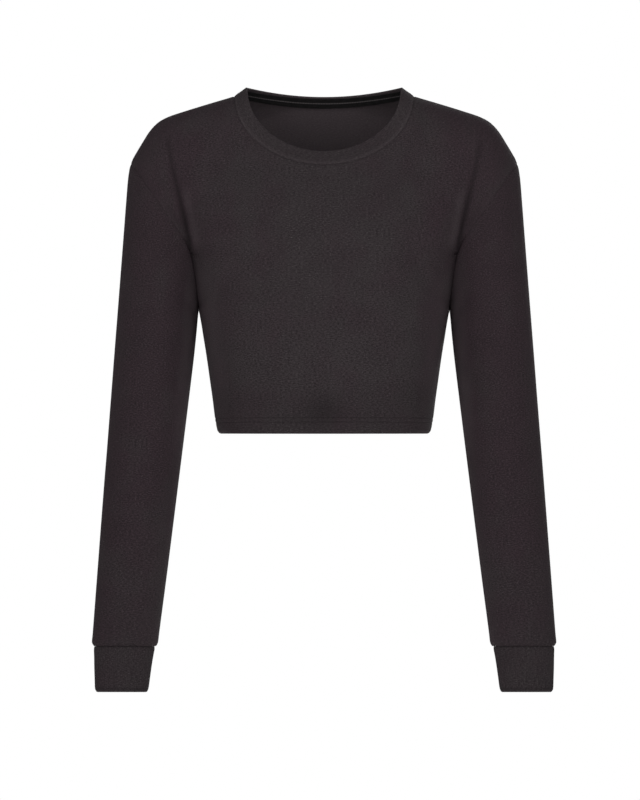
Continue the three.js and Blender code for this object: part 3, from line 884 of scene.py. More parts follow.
def arm_crease(grid):
    """How deep in the crease between chest and arm a point lies, and how far from its line."""
    height = np.clip(grid[..., 2], UNDERARM, CREASE_TOP)
    away = crease_across(height) - np.abs(grid[..., 0])
    strength = np.where(grid[..., 2] < UNDERARM, 0, crease_strength(height))
    return strength * np.exp(-((away / CREASE_WIDTH) ** 2)), away


def painted_hollow(across, height):
    return 0.4 * np.exp(-(((across + 2) / 22) ** 2) - ((height + 358) / 17) ** 2)


def panel_shade(grid, side):
    """Painted shade in the arm crease and low on the body, and painted light on crest and sides.
    """
    line, away = arm_crease(grid)
    height = grid[..., 2]
    hollow = painted_hollow(grid[..., 0], height) if side < 0 else 0
    low = 0.1 * smooth((-310 - height) / 50)
    by_crease = smooth((-95 - height) / 25) * smooth((height + 185) / 25)
    # Painted light: a pale line on the crest beside the arm crease, and on the body's sides by the
    # sleeves.
    crest_painted_light = np.exp(-(((away - 9) / 5) ** 2)) * by_crease
    to_side = body_half_width(height) - np.abs(grid[..., 0])
    side_painted_light = np.exp(-((to_side / 17) ** 2)) * smooth((-170 - height) / 50)
    return 0.75 * line + hollow + low - 0.17 * crest_painted_light - 0.27 * side_painted_light


print("crease", round(float(crease_across(-155.7))), "mm from the middle where it is darkest")

# %% Panels
CREASE_DEPTH = 1.6


def panel_wall(name, half, side, creases):
    grid = whole_panel(half, side)
    normal = panel_directions(grid, side)
    values = panel_lengths(grid)
    values["shade"] = panel_shade(grid, side)
    values["plum"] = 0.75 * smooth((np.abs(grid[..., 0]) - 50) / 130)
    calm = smooth((values["seam"] - 4) / 14)
    soft = creased(creases, grid[..., 0], grid[..., 2]) * calm
    high = smooth((grid[..., 2] + 190) / 30)
    soft = soft - CREASE_DEPTH * arm_crease(grid)[0] * smooth(values["seam"] / 8) * high
    level = np.concatenate([np.zeros(len(grid) - UPPER_ROWS), np.linspace(0, 1, UPPER_ROWS)])
    free = smooth((level - 0.17) / 0.2) + smooth((UNDERARM - 12 - grid[:, 0, 2]) / 20)
    held = seam_roll(values["seam"]) * free[:, None] + stitch_press(values["hem"])
    body = grid + normal * soft[..., None]
    doubled = smooth((HEM_TURN + 1 - values["hem"]) / 2)
    thickness = mix(JERSEY, HEM_DOUBLED, doubled)
    outer = body + normal * held[..., None]
    inner = body - normal * thickness[..., None]
    return wall(name, outer, inner, False, folded=("low",), values=values), outer, normal


front_panel, front_face, front_out = panel_wall("front_cloth", front_half, -1, FRONT_CREASES)
back_panel, back_face, back_out = panel_wall("back_cloth", back_half, 1, BACK_CREASES)

# %% [markdown]
# ## Sleeves
#
# Each sleeve is one piece of jersey, closed by a seam under the arm. It could be a cylinder
# that is scaled row by row. A grid round the tube was chosen, because its rows can tip at the
# top to follow the armhole, and its cells can be narrow at the seam. The gathered end puffs a
# little over the cuff. Both sleeves come from the same sections, and each has creases of its
# own.

# %% Sleeve grid
FROM_SEAM = (180, 179.2, 178, 176)  # angles next to the seam under the arm
EVENLY = 173 - np.arange(117) * 346 / 116
AROUND = np.concatenate([FROM_SEAM, EVENLY, [-176, -178, -179.2]])
FROM_CUFF = (0, 0.0015, 0.004, 0.008, 0.013, 0.02)  # shares of the way up the sleeve
TO_ARMHOLE = (0.99, 0.994, 0.997, 0.9988, 1)
SLEEVE_STEPS = np.concatenate([FROM_CUFF, np.linspace(0.03, 0.985, 150), TO_ARMHOLE])
MM_PER_DEGREE = 0.785


def sleeve_top(angle):
    """Height at which the cloth ends, a seam gap short of the armhole along its slope."""

    def seam_at(turned):
        folded = 180 - np.abs(180 - np.abs(turned))
        return tube_point(sleeve_tube, turned, armhole_height(folded))

    run = seam_at(angle + 2) - seam_at(angle - 2)
    flat = np.hypot(run[..., 0], run[..., 1])
    return armhole_height(np.abs(angle)) - SEAM_GAP * np.hypot(run[..., 2], flat) / flat


def sleeve_grid(inset):
    heights = SLEEVE_END + (sleeve_top(AROUND) - SLEEVE_END) * SLEEVE_STEPS[:, None]
    return tube_point(sleeve_tube, AROUND[None, :] + 0 * heights, heights, inset)


def around_tube(creases, angle, height):
    turned = (creased(creases, (angle + full) * MM_PER_DEGREE, height) for full in (-360, 0, 360))
    return sum(turned)


print("sleeve grid", len(SLEEVE_STEPS), "rows of", len(AROUND), "points")

# %% [markdown]
# ### Creases of the sleeves
#
# Places on a sleeve are given round it, in millimetres from its outer edge, with the front
# positive, and by height. Long shallow folds cross the inside of the elbow and run down from
# the armpit, and short gathers stand over the cuff seam.

# %% Creases of the sleeves
LEFT_SLEEVE_CREASES = (
    ((128, -262), (62, -205), 9, -1.5, 5),
    ((133, -276), (48, -262), 9, -1.1, -5),
    ((138, -300), (84, -352), 10, -0.9, 4),
    ((126, -372), (44, -398), 10, -1.3, 6),
    ((134, -412), (62, -410), 9, -0.9, -4),
    ((148, -388), (212, -414), 9, -1.1, 5),
    ((18, -350), (30, -470), 12, -0.7, -5),
    ((96, -470), (70, -560), 11, -0.8, 5),
    ((-40, -240), (-98, -330), 12, -1.0, 6),
    ((-62, -392), (-128, -372), 10, -1.2, -5),
    ((-56, -440), (-84, -556), 11, -0.8, 4),
    ((44, -588), (50, -628), 5, -1.1, 1),
    ((63, -602), (61, -628), 4, -0.8, 0),
    ((81, -583), (76, -628), 5, -1.0, -2),
    ((99, -600), (101, -628), 4, -0.9, 1),
    ((20, -597), (22, -628), 5, -0.7, -1),
    ((-22, -590), (-26, -628), 5, -1.0, 1),
    ((-48, -603), (-46, -628), 4, -0.8, 0),
    ((-73, -586), (-70, -628), 5, -1.1, -1),
    ((-104, -598), (-108, -628), 4, -0.9, 1),
)
RIGHT_SLEEVE_CREASES = (
    ((131, -258), (70, -214), 9, -1.3, 6),
    ((134, -282), (40, -254), 8, -1.0, -4),
    ((132, -310), (90, -340), 9, -0.8, 4),
    ((129, -362), (52, -380), 9, -1.2, -5),
    ((131, -400), (38, -424), 10, -1.1, 6),
    ((146, -376), (206, -392), 9, -1.0, 4),
    ((28, -330), (16, -440), 12, -0.7, 4),
    ((92, -452), (78, -548), 10, -0.9, -4),
    ((-36, -252), (-104, -316), 11, -1.1, 5),
    ((-58, -380), (-124, -398), 10, -1.1, 5),
    ((-60, -452), (-80, -540), 10, -0.9, -4),
    ((38, -592), (42, -628), 5, -0.9, 1),
    ((57, -585), (60, -628), 5, -1.1, -1),
    ((79, -604), (77, -628), 4, -0.8, 0),
    ((95, -588), (92, -628), 5, -1.0, 2),
    ((14, -601), (13, -628), 4, -0.8, -1),
    ((-30, -598), (-28, -628), 4, -0.9, 1),
    ((-55, -584), (-58, -628), 5, -1.0, 0),
    ((-82, -600), (-80, -628), 4, -0.9, -1),
    ((-110, -590), (-106, -628), 5, -0.8, 1),
)
print(len(LEFT_SLEEVE_CREASES) + len(RIGHT_SLEEVE_CREASES), "creases on the sleeves")

# %% Sleeves
def for_hand(hand, face, inner, values):
    """The left side's two grids and their values, or their mirror copies when hand is -1."""
    if hand > 0:
        return face, inner, values
    face, inner = ((grid * (-1, 1, 1))[:, ::-1] for grid in (face, inner))
    return face, inner, {key: value[:, ::-1] for key, value in values.items()}


def sleeve_wall(name, hand, creases):
    outer, inner = sleeve_grid(0), sleeve_grid(JERSEY)
    angle = AROUND[None, :] + 0 * outer[..., 0]
    height = outer[..., 2]
    up = lengths_along(outer)
    to_top = up[-1:] - up
    to_ends = np.minimum(up, to_top)
    to_side = (180 - np.abs(angle)) * MM_PER_DEGREE
    seam = np.minimum(to_ends, to_side)
    gathered = smooth((-604 - height) / 20)
    calm = np.maximum(smooth((to_ends - 4) / 14), gathered * smooth(to_ends / 4))
    calm = calm * smooth((to_side - 3) / 8)
    normal = outward(outer, True)
    soft = around_tube(creases, angle, height) * calm
    body = outer + normal * soft[..., None]
    at_armpit = smooth((np.abs(angle) - 115) / 35) * smooth((25 - to_top) / 20)
    face = body + normal * (seam_roll(seam) * (1 - at_armpit))[..., None]
    inner = inner + normal * soft[..., None]
    # Painted light makes the inner side, which faces the body, paler. Painted shade lies at the
    # armpit, and the whole sleeve is a little darker.
    inner_side_painted_light = smooth((np.abs(angle) - 112) / 50) * (0.3 + 0.7 * smooth((height + 430) / 110))
    shade = 0.1 + 0.1 * at_armpit * np.exp(-to_top / 5) - 0.5 * inner_side_painted_light
    values = dict(seam=seam, shade=shade, plum=0.45 + 0.4 * smooth(up / 250))
    face, inner, values = for_hand(hand, face, inner, values)
    return wall(name, face, inner, True, values=values), face


left_sleeve, left_sleeve_face = sleeve_wall("left_sleeve_cloth", 1, LEFT_SLEEVE_CREASES)
right_sleeve, right_sleeve_face = sleeve_wall("right_sleeve_cloth", -1, RIGHT_SLEEVE_CREASES)

# %% [markdown]
# ## Cuffs
#
# A cuff is a strip of rib folded double, so its lower edge is a fold and both raw edges lie in
# the seam. Rib is knitted in ridges. A bump in the material could draw them, but they would
# vanish at the edge of the cuff, so each ridge is a real wave of the wall, about 2.6 mm wide,
# that flattens out at the seam and the fold.

# %% Cuffs
RIB_DOUBLED = 2.2
CUFF_RIBS = 62
POINTS_A_RIB = 6
RIDGE = 0.13
CUFF_COLUMNS = np.arange(CUFF_RIBS * POINTS_A_RIB)
CUFF_AROUND = 180 - CUFF_COLUMNS * 360 / (CUFF_RIBS * POINTS_A_RIB)
BY_THE_FOLD = (-677.6, -676.6, -675, -672, -668)
BY_THE_SEAM = (-639, -634, -630, -628, -626.9, -626.12)
CUFF_ROWS = np.array(BY_THE_FOLD + (-663, -657, -651, -645) + BY_THE_SEAM)


def cuff_wall(name, hand):
    height = CUFF_ROWS[:, None]
    angle = CUFF_AROUND[None, :] + 0 * height
    height = height + 0 * angle
    outer = tube_point(cuff_tube, angle, height)
    inner = tube_point(cuff_tube, angle, height, RIB_DOUBLED)
    up = lengths_along(outer)
    seam = up[-1:] - up
    ridge = np.cos(CUFF_COLUMNS * math.tau / POINTS_A_RIB)[None, :] * RIDGE
    ridge = ridge * smooth((seam - 0.5) / 3) * smooth((up - 0.5) / 3)
    normal = outward(outer, True)
    face = outer + normal * (ridge + seam_roll(seam))[..., None]
    inner = inner + normal * (ridge * 0.5)[..., None]
    # The whole cuff is a little darker, and painted shade runs in a narrow line just above the
    # fold.
    values = dict(seam=seam, shade=0.08 + 0.35 * np.exp(-(((up - 3) / 1.6) ** 2)))
    face, inner, values = for_hand(hand, face, inner, values)
    return wall(name, face, inner, True, folded=("low",), values=values), face


left_cuff, left_cuff_face = cuff_wall("left_cuff_rib", 1)
right_cuff, right_cuff_face = cuff_wall("right_cuff_rib", -1)

# %% [markdown]
# ## Neckband
#
# The neckband uses the surface drawn above, with the same wall and a rounded fold at its free
# edge. It could be a round tube bent along the neck, but a folded band is flat. At the seam it
# takes its directions from the two panels.

# %% Neckband
def joined_at_neck():
    joined = band_out[0].copy()
    centre = front_out.shape[1] // 2
    for step in range(-NECK_CELLS, NECK_CELLS + 1):
        joined[2 * NECK_CELLS + step] = back_out[-1, centre + step]
    for step in range(-NECK_CELLS + 1, NECK_CELLS):
        joined[step] = front_out[-1, centre + step]
    return joined


def neckband_wall():
    up = lengths_along(band_outer)
    normal = band_out.copy()
    normal[0] = joined_at_neck()
    face = band_outer + normal * seam_roll(up)[..., None]
    inner = band_outer - normal * RIB_DOUBLED
    # The band is a little paler all over, and a painted highlight runs along it just above the
    # seam.
    values = dict(seam=up, shade=-0.06 - 0.16 * np.exp(-(((up - 2.6) / 1.2) ** 2)))
    return wall("neckband_rib", face, inner, True, folded=("high",), values=values), face


neckband, band_face = neckband_wall()

# %% [markdown]
# ## Neck tape
#
# A narrow black tape is sewn over the back neck seam inside, and hides its raw edges. The
# photo shows two dark stripes over the front neck edge with a light row of stitches between
# them: the lower one is the tape, and the upper one is shade on the inside of the band. The
# tape reaches up over both, so its upper part is a dark strip that stands in for that shade.
# It could be a copy of the band's own faces, moved inwards. It is drawn as a strip of its own,
# so that it can be thinner, stop at the shoulders and have rounded edges.

# %% Neck tape
TAPE = 0.8
TAPE_REACH = 40  # columns of the neck each way from the middle of the back
# The upper rows reach over the inside of the band, where the dark tape stands in for shade.
TAPE_ROWS = (1.6, 3.2, 5, 6.8, 8, 9.2, 11, 12.6, 13.9)  # lengths up the band from its seam
BEHIND_BAND = 0.5


def tape_wall():
    middle = 2 * NECK_CELLS
    columns = np.arange(middle - TAPE_REACH, middle + TAPE_REACH + 1)
    seam = band_outer[0, columns]
    up_band = unit(band_outer[3, columns] - seam)
    behind = seam - unit(band_out[1, columns]) * (RIB_DOUBLED + BEHIND_BAND)
    face = np.array([behind + up_band * up for up in TAPE_ROWS])
    inner = face - outward(face, False) * TAPE
    return wall("neck_tape_cotton", face, inner, False, folded=("low", "high")), face


neck_tape, tape_face = tape_wall()

# %% [markdown]
# ## Seam allowances inside
#
# Two panels are sewn together a few millimetres from their raw edges, and the edges are
# overlocked with thread. Inside the top this leaves a narrow strip that stands up from each
# seam and leans to one side. It shows through the neck and the hem, and it keeps light from
# coming through the seam. The panels' own edges could be turned in, but then the cloth would
# have to bend on the spot, so each strip is a wall of its own along the line of the seam.

# %% Strip along a seam
ALLOWANCE = 6.5
ALLOWANCE_STEPS = np.array([0, 0.25, 0.5, 0.75, 1])
HALF_STRIP = 0.9  # half the thickness of the two layers and the thread
SIDE_NAMES = {1: "left", -1: "right"}


def allowance(hand, seam, line, inward, lean, ring=False):
    """A wavy strip that stands inward from the line of a seam, and leans to one side."""
    line, inward, lean = (part * (hand, 1, 1) for part in (line, inward, lean))
    if ring:
        line, inward, lean = (part[::hand] for part in (line, inward, lean))
        along = np.roll(line, -1, axis=0) - np.roll(line, 1, axis=0)
    else:
        along = np.gradient(line, axis=0)
    up = unit(inward + lean)
    place = np.arange(len(line))
    wave = 0.5 * np.sin(place * 0.9) + 0.3 * np.sin(place * 0.37)
    middle = line + inward * 0.15 + up * ALLOWANCE * ALLOWANCE_STEPS[:, None, None]
    across = unit(np.cross(along, up))
    middle = middle + across * (wave * ALLOWANCE_STEPS[:, None] ** 2)[..., None]
    outer, inner = middle + across * HALF_STRIP, middle - across * HALF_STRIP
    return wall(f"{SIDE_NAMES[hand]}_{seam}_allowance", outer, inner, ring, folded=("high",))


print("allowances stand", ALLOWANCE, "mm high")

# %% Allowances of the armholes
def armhole_allowance(hand):
    angle = 180 - np.arange(120) * 3.0
    seam = tube_point(sleeve_tube, angle, armhole_height(np.abs(angle)))
    turn = np.radians(angle)
    of_sleeve = np.stack([np.cos(turn), -np.sin(turn), 0 * turn], axis=-1)
    row = (1 - np.abs(angle) / 180) * (UPPER_ROWS - 1)
    sides = {1: front_out[-UPPER_ROWS:, -1], -1: back_out[-UPPER_ROWS:, 0]}
    of_panel = np.array([sides[1 if a > 0 else -1][round(r)] for a, r in zip(angle, row)])
    meeting = of_sleeve + of_panel
    upward = 0.4 * smooth((np.abs(angle) - 140) / 40)[:, None] * (0, 0, 1)
    inward = unit(upward - meeting)
    line = seam - meeting * JERSEY / 2
    flat = np.linalg.norm(meeting, axis=-1, keepdims=True) / 2
    lean = flat**2 * np.array([0.15, 0, -0.8])
    return allowance(hand, "armhole", line, inward, lean, ring=True)


# %% Allowances of the other seams
TO_THE_BACK = np.array([0, 0.9, 0])


def side_allowance(hand):
    height = np.linspace(HEM + HEM_TURN + 1, UNDERARM - 2, 50)
    line = np.stack([body_half_width(height) - JERSEY, 0 * height, height], axis=-1)
    return allowance(hand, "side", line, np.array([-1, 0, 0]) + 0 * line, TO_THE_BACK)


def shoulder_allowance(hand):
    across, height = shoulder_line(np.linspace(0.03, 0.93, 50))
    slope = np.gradient(height, across)
    inward = unit(np.stack([slope, 0 * slope, -1 + 0 * slope], axis=-1))
    line = np.stack([across, 0 * across, height], axis=-1) + inward * JERSEY
    return allowance(hand, "shoulder", line, inward, TO_THE_BACK)


def sleeve_allowance(hand):
    height = np.linspace(SLEEVE_END + 8, UNDERARM - 10, 60)
    across = sleeve_tube["inner"](height) + JERSEY
    line = np.stack([across, sleeve_tube["middle"](height), height], axis=-1)
    return allowance(hand, "sleeve", line, np.array([1, 0, 0]) + 0 * line, TO_THE_BACK)


def cuff_allowance(hand):
    angle = 180 - np.arange(72) * 5.0
    line = tube_point(cuff_tube, angle, -629.5 + 0 * angle, RIB_DOUBLED + 1.2)
    return allowance(hand, "cuff", line, np.array([0, 0, 1]) + 0 * line, 0 * line, ring=True)


ARM_SEAMS = (armhole_allowance, sleeve_allowance, cuff_allowance)
BODY_SEAMS = (side_allowance, shoulder_allowance)
body_allowances = [make(hand) for make in BODY_SEAMS for hand in (1, -1)]
arm_allowances = {hand: [make(hand) for make in ARM_SEAMS] for hand in (1, -1)}
print(len(body_allowances + arm_allowances[1] + arm_allowances[-1]), "allowances")

# %% [markdown]
# ## Shader maths
#
# A finish is a node tree. It could be joined up by hand in the Shader Editor, but a long sum
# is hard to follow there. Written in Python it stays readable: a small class wraps a node's
# output, and each sum on it adds a Math node. All other nodes come from one method.

# %% Sums on what a node gives
class Reading:
    """A value that changes over a surface: a node's output, with sums written as in Python."""

    def __init__(self, finish, socket):
        self.finish = finish
        self.socket = socket

    def sum(self, operation, *others):
        values = {i: value for i, value in enumerate((self,) + others)}
        return self.finish.node("ShaderNodeMath", {"operation": operation}, values)[0]

    def __add__(self, other):
        return self.sum("ADD", other)

    def __sub__(self, other):
        return self.sum("SUBTRACT", other)

    def __rsub__(self, other):
        return (self * -1) + other

    def __mul__(self, other):
        return self.sum("MULTIPLY", other)

    def __truediv__(self, other):
        return self.sum("DIVIDE", other)

    def __abs__(self):
        return self.sum("ABSOLUTE")

    __radd__ = __add__
    __rmul__ = __mul__

    def wave(self):
        """Goes smoothly between 0 and 1, once for each whole number."""
        return (self * math.tau).sum("COSINE") * 0.5 + 0.5

    def part(self):
        return self.sum("FRACT")

    def between(self, low, high):
        """Rises smoothly from 0 at low to 1 at high."""
        settings = {"interpolation_type": "SMOOTHSTEP"}
        values = {"Value": self, "From Min": low, "From Max": high}
        return self.finish.node("ShaderNodeMapRange", settings, values)[0]


print("sums", [name for name in vars(Reading) if not name.startswith("__")])

# %% A finish and its nodes
DULL = 0.08  # how strongly cloth mirrors the light, where 0.5 would be plastic


class Finish:
    """A material, and the one way to add a node to it."""

    def __init__(self, name, roughness):
        self.material = bpy.data.materials.new(name)
        self.material.use_nodes = True
        self.tree = self.material.node_tree
        self.surface = self.tree.nodes["Principled BSDF"]
        self.surface.inputs["Roughness"].default_value = roughness
        self.surface.inputs["Specular IOR Level"].default_value = DULL

    def node(self, kind, settings={}, values={}):
        node = self.tree.nodes.new(kind)
        for setting, value in settings.items():
            setattr(node, setting, value)
        for key, value in values.items():
            self.join(value, node.inputs[key])
        return [Reading(self, socket) for socket in node.outputs if socket.enabled]

    def join(self, value, socket):
        if isinstance(value, Reading):
            self.tree.links.new(value.socket, socket)
        else:
            socket.default_value = value

    def lengths(self):
        """Millimetres across and up the unrolled cloth."""
        place = self.node("ShaderNodeUVMap", {"uv_map": "cloth"})[0]
        across, up = self.node("ShaderNodeSeparateXYZ", values={0: place})[:2]
        return across / MM, up / MM

    def kept(self, name):
        """A value that the wall keeps for each point. It reads 0 where a wall has none."""
        return self.node("ShaderNodeAttribute", {"attribute_name": name})[2]

    def point(self, x, y, z):
        return self.node("ShaderNodeCombineXYZ", values={0: x, 1: y, 2: z})[0]

    def noise(self, place, scale, detail):
        values = {"Vector": place, "Scale": scale, "Detail": detail}
        return self.node("ShaderNodeTexNoise", {"noise_dimensions": "3D"}, values)[0]

    def speckle(self, across, up, size, layer, detail):
        """Soft spots of a width and height in millimetres. Each layer has its own spots."""
        place = self.point(across / size[0], up / size[1], layer)
        return self.noise(place, 1.0, detail)

    def blend(self, share, first, second):
        settings = {"data_type": "RGBA", "clamp_factor": True}
        return self.node("ShaderNodeMix", settings, {0: share, 6: first, 7: second})[0]

    def raise_by(self, height, distance, strength):
        """A bump: how high the pattern stands in metres, and how strongly it shows."""
        values = {"Height": height, "Distance": distance, "Strength": strength}
        bump = self.node("ShaderNodeBump", values=values)[0]
        self.join(bump, self.surface.inputs["Normal"])

    def paint(self, colour, roughness=None):
        self.join(colour, self.surface.inputs["Base Color"])
        if roughness is not None:
            self.join(roughness, self.surface.inputs["Roughness"])


print("a finish can", [name for name in vars(Finish) if not name.startswith("__")])

# %% [markdown]
# ## Heather jersey
#
# Heather yarn is spun from fibres of several shades, so the cloth is flecked. A dyed fibre
# stays in its yarn, and the yarn runs across the cloth, so the flecks are wider than they are
# high. Under them lie the knit's own columns of V-shaped stitches, about 0.9 mm wide, and slow
# changes of shade from the dye bath. Painted shade darkens a line where a seam or a row of
# stitches presses the cloth together. Each wall's shade value paints more shade, and below 0
# painted light, and the inner face is painted paler, partly as the paler back of the knit and
# partly as painted light. Noise that is stretched along the unrolled cloth gives the flecks,
# where a photo of cloth would show its edges each time it repeats.

# %% Heather
DARK_YARN = (0.0150, 0.0114, 0.0130, 1)
GREY_YARN = (0.0338, 0.0283, 0.0300, 1)
PLUM_YARN = (0.0318, 0.0212, 0.0256, 1)
LIGHT_YARN = (0.1050, 0.0900, 0.0950, 1)
# Paler yarn for the back of the knit and for painted light, and the dark of painted shade.
REVERSE_AND_PAINTED_LIGHT = (0.0850, 0.0690, 0.0750, 1)
IN_SHADE = (0.0080, 0.0060, 0.0068, 1)
FLECK = (3.0, 1.2)  # width and height in millimetres
FINE_FLECK = (1.3, 0.8)
DYE_CLOUD = (38, 30)
HUE_PATCH = (42, 55)


def heather(finish, across, up):
    """Heather colour with painted shade and light, and how light the fleck is at each place."""
    fleck = finish.speckle(across, up, FLECK, 0.0, 3.0)
    fine = finish.speckle(across, up, FINE_FLECK, 4.0, 1.0)
    cloud = finish.speckle(across, up, DYE_CLOUD, 9.0, 2.0)
    shade = fleck * 0.54 + fine * 0.38 + cloud * 0.08
    patch = finish.speckle(across, up, HUE_PATCH, 20.0, 2.0)
    plum = finish.kept("plum") + (patch - 0.5) * 2.2 + 0.1
    body = finish.blend(plum, GREY_YARN, PLUM_YARN)
    body = finish.blend(shade.between(0.36, 0.6), DARK_YARN, body)
    bright = (fleck * 0.5 + fine * 0.5).between(0.57, 0.74)
    body = finish.blend(bright * 0.55, body, LIGHT_YARN)
    # The inner face is painted paler, partly the paler back of the knit and partly painted light
    # for the inside, which the lamps hardly reach. The shade value paints light below 0 and shade
    # above.
    body = finish.blend(finish.kept("reverse") * 0.42, body, REVERSE_AND_PAINTED_LIGHT)
    body = finish.blend(finish.kept("shade") * -1, body, REVERSE_AND_PAINTED_LIGHT)
    return finish.blend(finish.kept("shade"), body, IN_SHADE), shade


print("flecks", FLECK[0], "by", FLECK[1], "mm")

# %% Jersey
WALE = 0.9  # width of one column of stitches
COURSE = 0.75  # height of one row of stitches
PILL = (1.7, 1.7)


def knit_height(across, up, wale):
    """Columns of V stitches: two slanted legs that meet in the middle of each column."""
    leg = abs((across / wale).part() - 0.5)
    loop = (up / COURSE + leg * 1.2).wave()
    ridge = (leg * 2).wave() * -1 + 1
    return loop * 0.55 + ridge * 0.45


def jersey_finish(name, with_hem):
    finish = Finish(name, 0.92)
    across, up = finish.lengths()
    colour, shade = heather(finish, across, up)
    # Painted shade in a line along each seam and each row of hem stitches, where the cloth is
    # pressed in. The same lines are pressed into the bump.
    pressed_line_shade = (1 - finish.kept("seam").between(0.2, 1.2)) * 0.25
    if with_hem:
        hem = finish.kept("hem")
        for row in STITCH_ROWS:
            pressed_line_shade = pressed_line_shade + (1 - abs(hem - row).between(0.2, 0.9)) * 0.8
    colour = finish.blend(pressed_line_shade * 0.4, colour, IN_SHADE)
    finish.paint(colour, shade * 0.16 + 0.82)
    knit = knit_height(across, up, WALE)
    pill = finish.speckle(across, up, PILL, 2.0, 3.0)
    finish.raise_by(knit * 0.6 + pill * 0.5 - pressed_line_shade * 0.8, 0.00022, 0.7)
    return finish.material


body_jersey = jersey_finish("heather jersey of the body", True)
sleeve_jersey = jersey_finish("heather jersey of the sleeves", False)
print("jersey", len(body_jersey.node_tree.nodes), "nodes")

# %% [markdown]
# ## Rib
#
# Rib is the same yarn knitted in turns of plain and purl, so it stands in ridges across the
# band. The furrows between them catch less light. On the narrow neckband the ridges are too
# fine for the wall, so there a bump gives them. On the cuffs it sharpens the real ones.

# %% Rib
def rib_finish(name, pitch, depth, furrow, seam_shade):
    """Ridges of this pitch, in millimetres, with painted shade in furrows and seam line as given.
    """
    finish = Finish(name, 0.92)
    across, up = finish.lengths()
    colour, shade = heather(finish, across, up)
    ridge = (across / pitch).wave()
    # Painted shade along the seam, and below in the furrows between the ridges.
    pressed_line_shade = (1 - finish.kept("seam").between(0.2, 1.3)) * seam_shade
    colour = finish.blend((1 - ridge) * furrow + pressed_line_shade, colour, IN_SHADE)
    finish.paint(colour, shade * 0.16 + 0.82)
    knit = knit_height(across, up, pitch / 2)
    finish.raise_by(ridge * 1.4 + knit * 0.4 - pressed_line_shade * 0.8, depth, 0.7)
    return finish.material


cuff_rib = rib_finish("heather rib of the cuffs", 2.6, 0.0002, 0.1, 0.3)
band_rib = rib_finish("heather rib of the neckband", 2.2, 0.0003, 0.17, 0.25)
print("rib", len(band_rib.node_tree.nodes), "nodes")

# %% [markdown]
# ## Tape and overlocked edges
#
# The tape is plain woven cotton, black and a little smoother than the jersey, with one light
# row of stitches along its middle. A weave goes over and under in turn, which two sets of
# waves give, half a thread apart. The allowances are jersey with a zigzag of thread over
# their raw edge. Both stitches could be cords, but a real one is only a thread high, so the
# material draws them, with a colour and a small bump.

# %% Tape
TAPE_DARK = (0.0070, 0.0066, 0.0067, 1)
TAPE_WORN = (0.0125, 0.0116, 0.0119, 1)
STITCH_THREAD = (0.0900, 0.0800, 0.0830, 1)
WEAVE = 0.7
STITCH_LEVEL = 6.4  # how far up the tape the row of stitches runs
STITCH_LENGTH = 3
WORN_SPOT = (5, 2)


def tape_finish():
    finish = Finish("black cotton tape", 0.8)
    across, up = finish.lengths()
    over = (across / WEAVE).wave() * (up / WEAVE).wave()
    under = (across / WEAVE + 0.5).wave() * (up / WEAVE + 0.5).wave()
    worn = finish.speckle(across, up, WORN_SPOT, 0.0, 2.0)
    cotton = finish.blend(worn.between(0.3, 0.7), TAPE_DARK, TAPE_WORN)
    in_row = 1 - abs(up - STITCH_LEVEL).between(0.5, 0.9)
    stitch = in_row * abs((across / STITCH_LENGTH).part() - 0.5).between(0.02, 0.08)
    finish.paint(finish.blend(stitch * 0.9, cotton, STITCH_THREAD), worn * 0.15 + 0.72)
    finish.raise_by(over + under + stitch, 0.0002, 0.6)
    return finish.material


black_tape = tape_finish()
print("tape", len(black_tape.node_tree.nodes), "nodes")

# %% Overlocked edges
EDGE_THREAD = (0.0170, 0.0150, 0.0160, 1)
ZIGZAG = 2.4


def overlock_finish():
    finish = Finish("overlocked edge", 0.9)
    across, up = finish.lengths()
    colour, shade = heather(finish, across, up)
    loop = abs((across / ZIGZAG).part() - 0.5) * 2
    thread = (1 - abs(up / ALLOWANCE - loop).between(0.06, 0.2)) * up.between(1.5, 2.5)
    finish.paint(finish.blend(thread * 0.8, colour, EDGE_THREAD), shade * 0.1 + 0.8)
    finish.raise_by(thread, 0.0004, 0.8)
    return finish.material


overlock = overlock_finish()
print("overlocked edge", len(overlock.node_tree.nodes), "nodes")

# %% [markdown]
# ## Pale studio floor
#
# The floor isn't part of the top. It is a matt, nearly white sheet with a faint grain. It
# glows a little by itself, so that it stays white where the lamps don't reach.

# %% Floor finish
FLOOR_GREY = (0.84, 0.84, 0.83, 1)
FLOOR_WHITE = (0.88, 0.88, 0.87, 1)
FLOOR_GLOW = 0.3


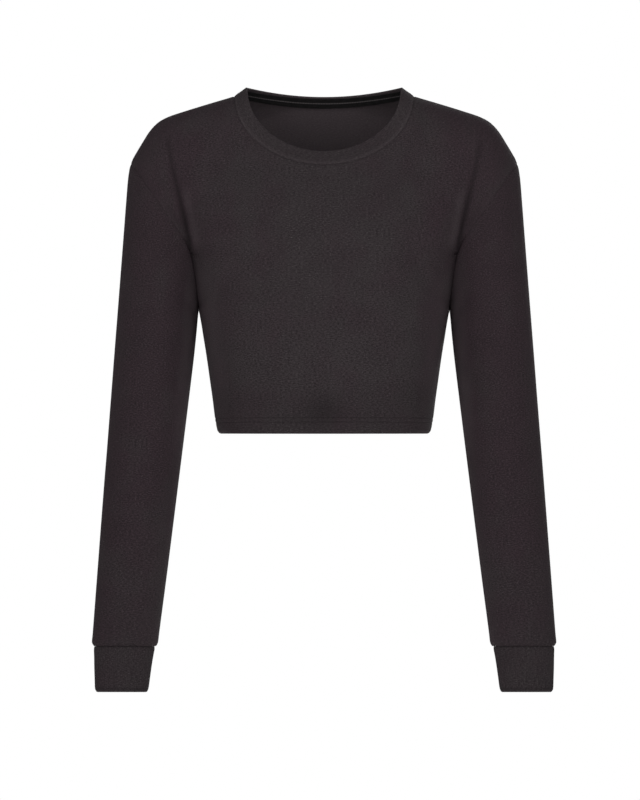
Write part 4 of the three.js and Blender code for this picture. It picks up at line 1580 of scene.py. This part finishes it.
def floor_finish():
    finish = Finish("pale studio floor", 0.9)
    place = finish.node("ShaderNodeTexCoord")[3]
    grain = finish.noise(place, 14.0, 3.0)
    finish.paint(finish.blend(grain, FLOOR_GREY, FLOOR_WHITE))
    finish.surface.inputs["Emission Color"].default_value = WHITE
    finish.surface.inputs["Emission Strength"].default_value = FLOOR_GLOW
    return finish.material


floor.data.materials.append(floor_finish())
print("floor", floor.data.materials[0].name)

# %% [markdown]
# ## Fit the pieces to the frame
#
# Each piece takes its finish, rides on the garment's one body and stands for its CAD node.
# Its cut is worked out and printed as a sheet of cloth: a body panel as the rectangle that
# holds it, with its own area, and a tube as its length all round. The allowances stand for no
# node of their own. They hang inside the front and the sleeves.

# %% Fit the allowances
for piece in body_allowances + arm_allowances[1] + arm_allowances[-1]:
    piece.data.materials.append(overlock)
    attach(piece, "root")
    print(piece.name, "rides on the top")

# %% Fit the pieces
def cut_size(face, ring):
    """Width and length of the rectangle that holds the cloth laid flat, in metres."""
    loop = closed(face, ring)
    width = float(lengths_across(loop)[:, -1].max()) * MM
    length = float(lengths_along(loop)[-1].max()) * MM
    return round(width, 4), round(length, 4)


PIECES = (
    (front_panel, "front_panel", "jersey", body_jersey, front_face, False),
    (back_panel, "back_panel", "jersey", body_jersey, back_face, False),
    (left_sleeve, "sleeve_left", "jersey", sleeve_jersey, left_sleeve_face, True),
    (right_sleeve, "sleeve_right", "jersey", sleeve_jersey, right_sleeve_face, True),
    (left_cuff, "cuff_left", "rib", cuff_rib, left_cuff_face, True),
    (right_cuff, "cuff_right", "rib", cuff_rib, right_cuff_face, True),
    (neckband, "neckband", "rib", band_rib, band_face, True),
    (neck_tape, "neck_tape", "tape", black_tape, tape_face, False),
)
for piece, node, slot, finish, face, ring in PIECES:
    piece.data.materials.append(finish)
    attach(piece, "root")
    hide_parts(node)
    size = cut_size(face, ring)
    area = min(round(cloth_area(face, ring), 4), size[0] * size[1])
    print(piece.name, "cut", [round(side / MM) for side in size], "mm, area", round(area, 4))
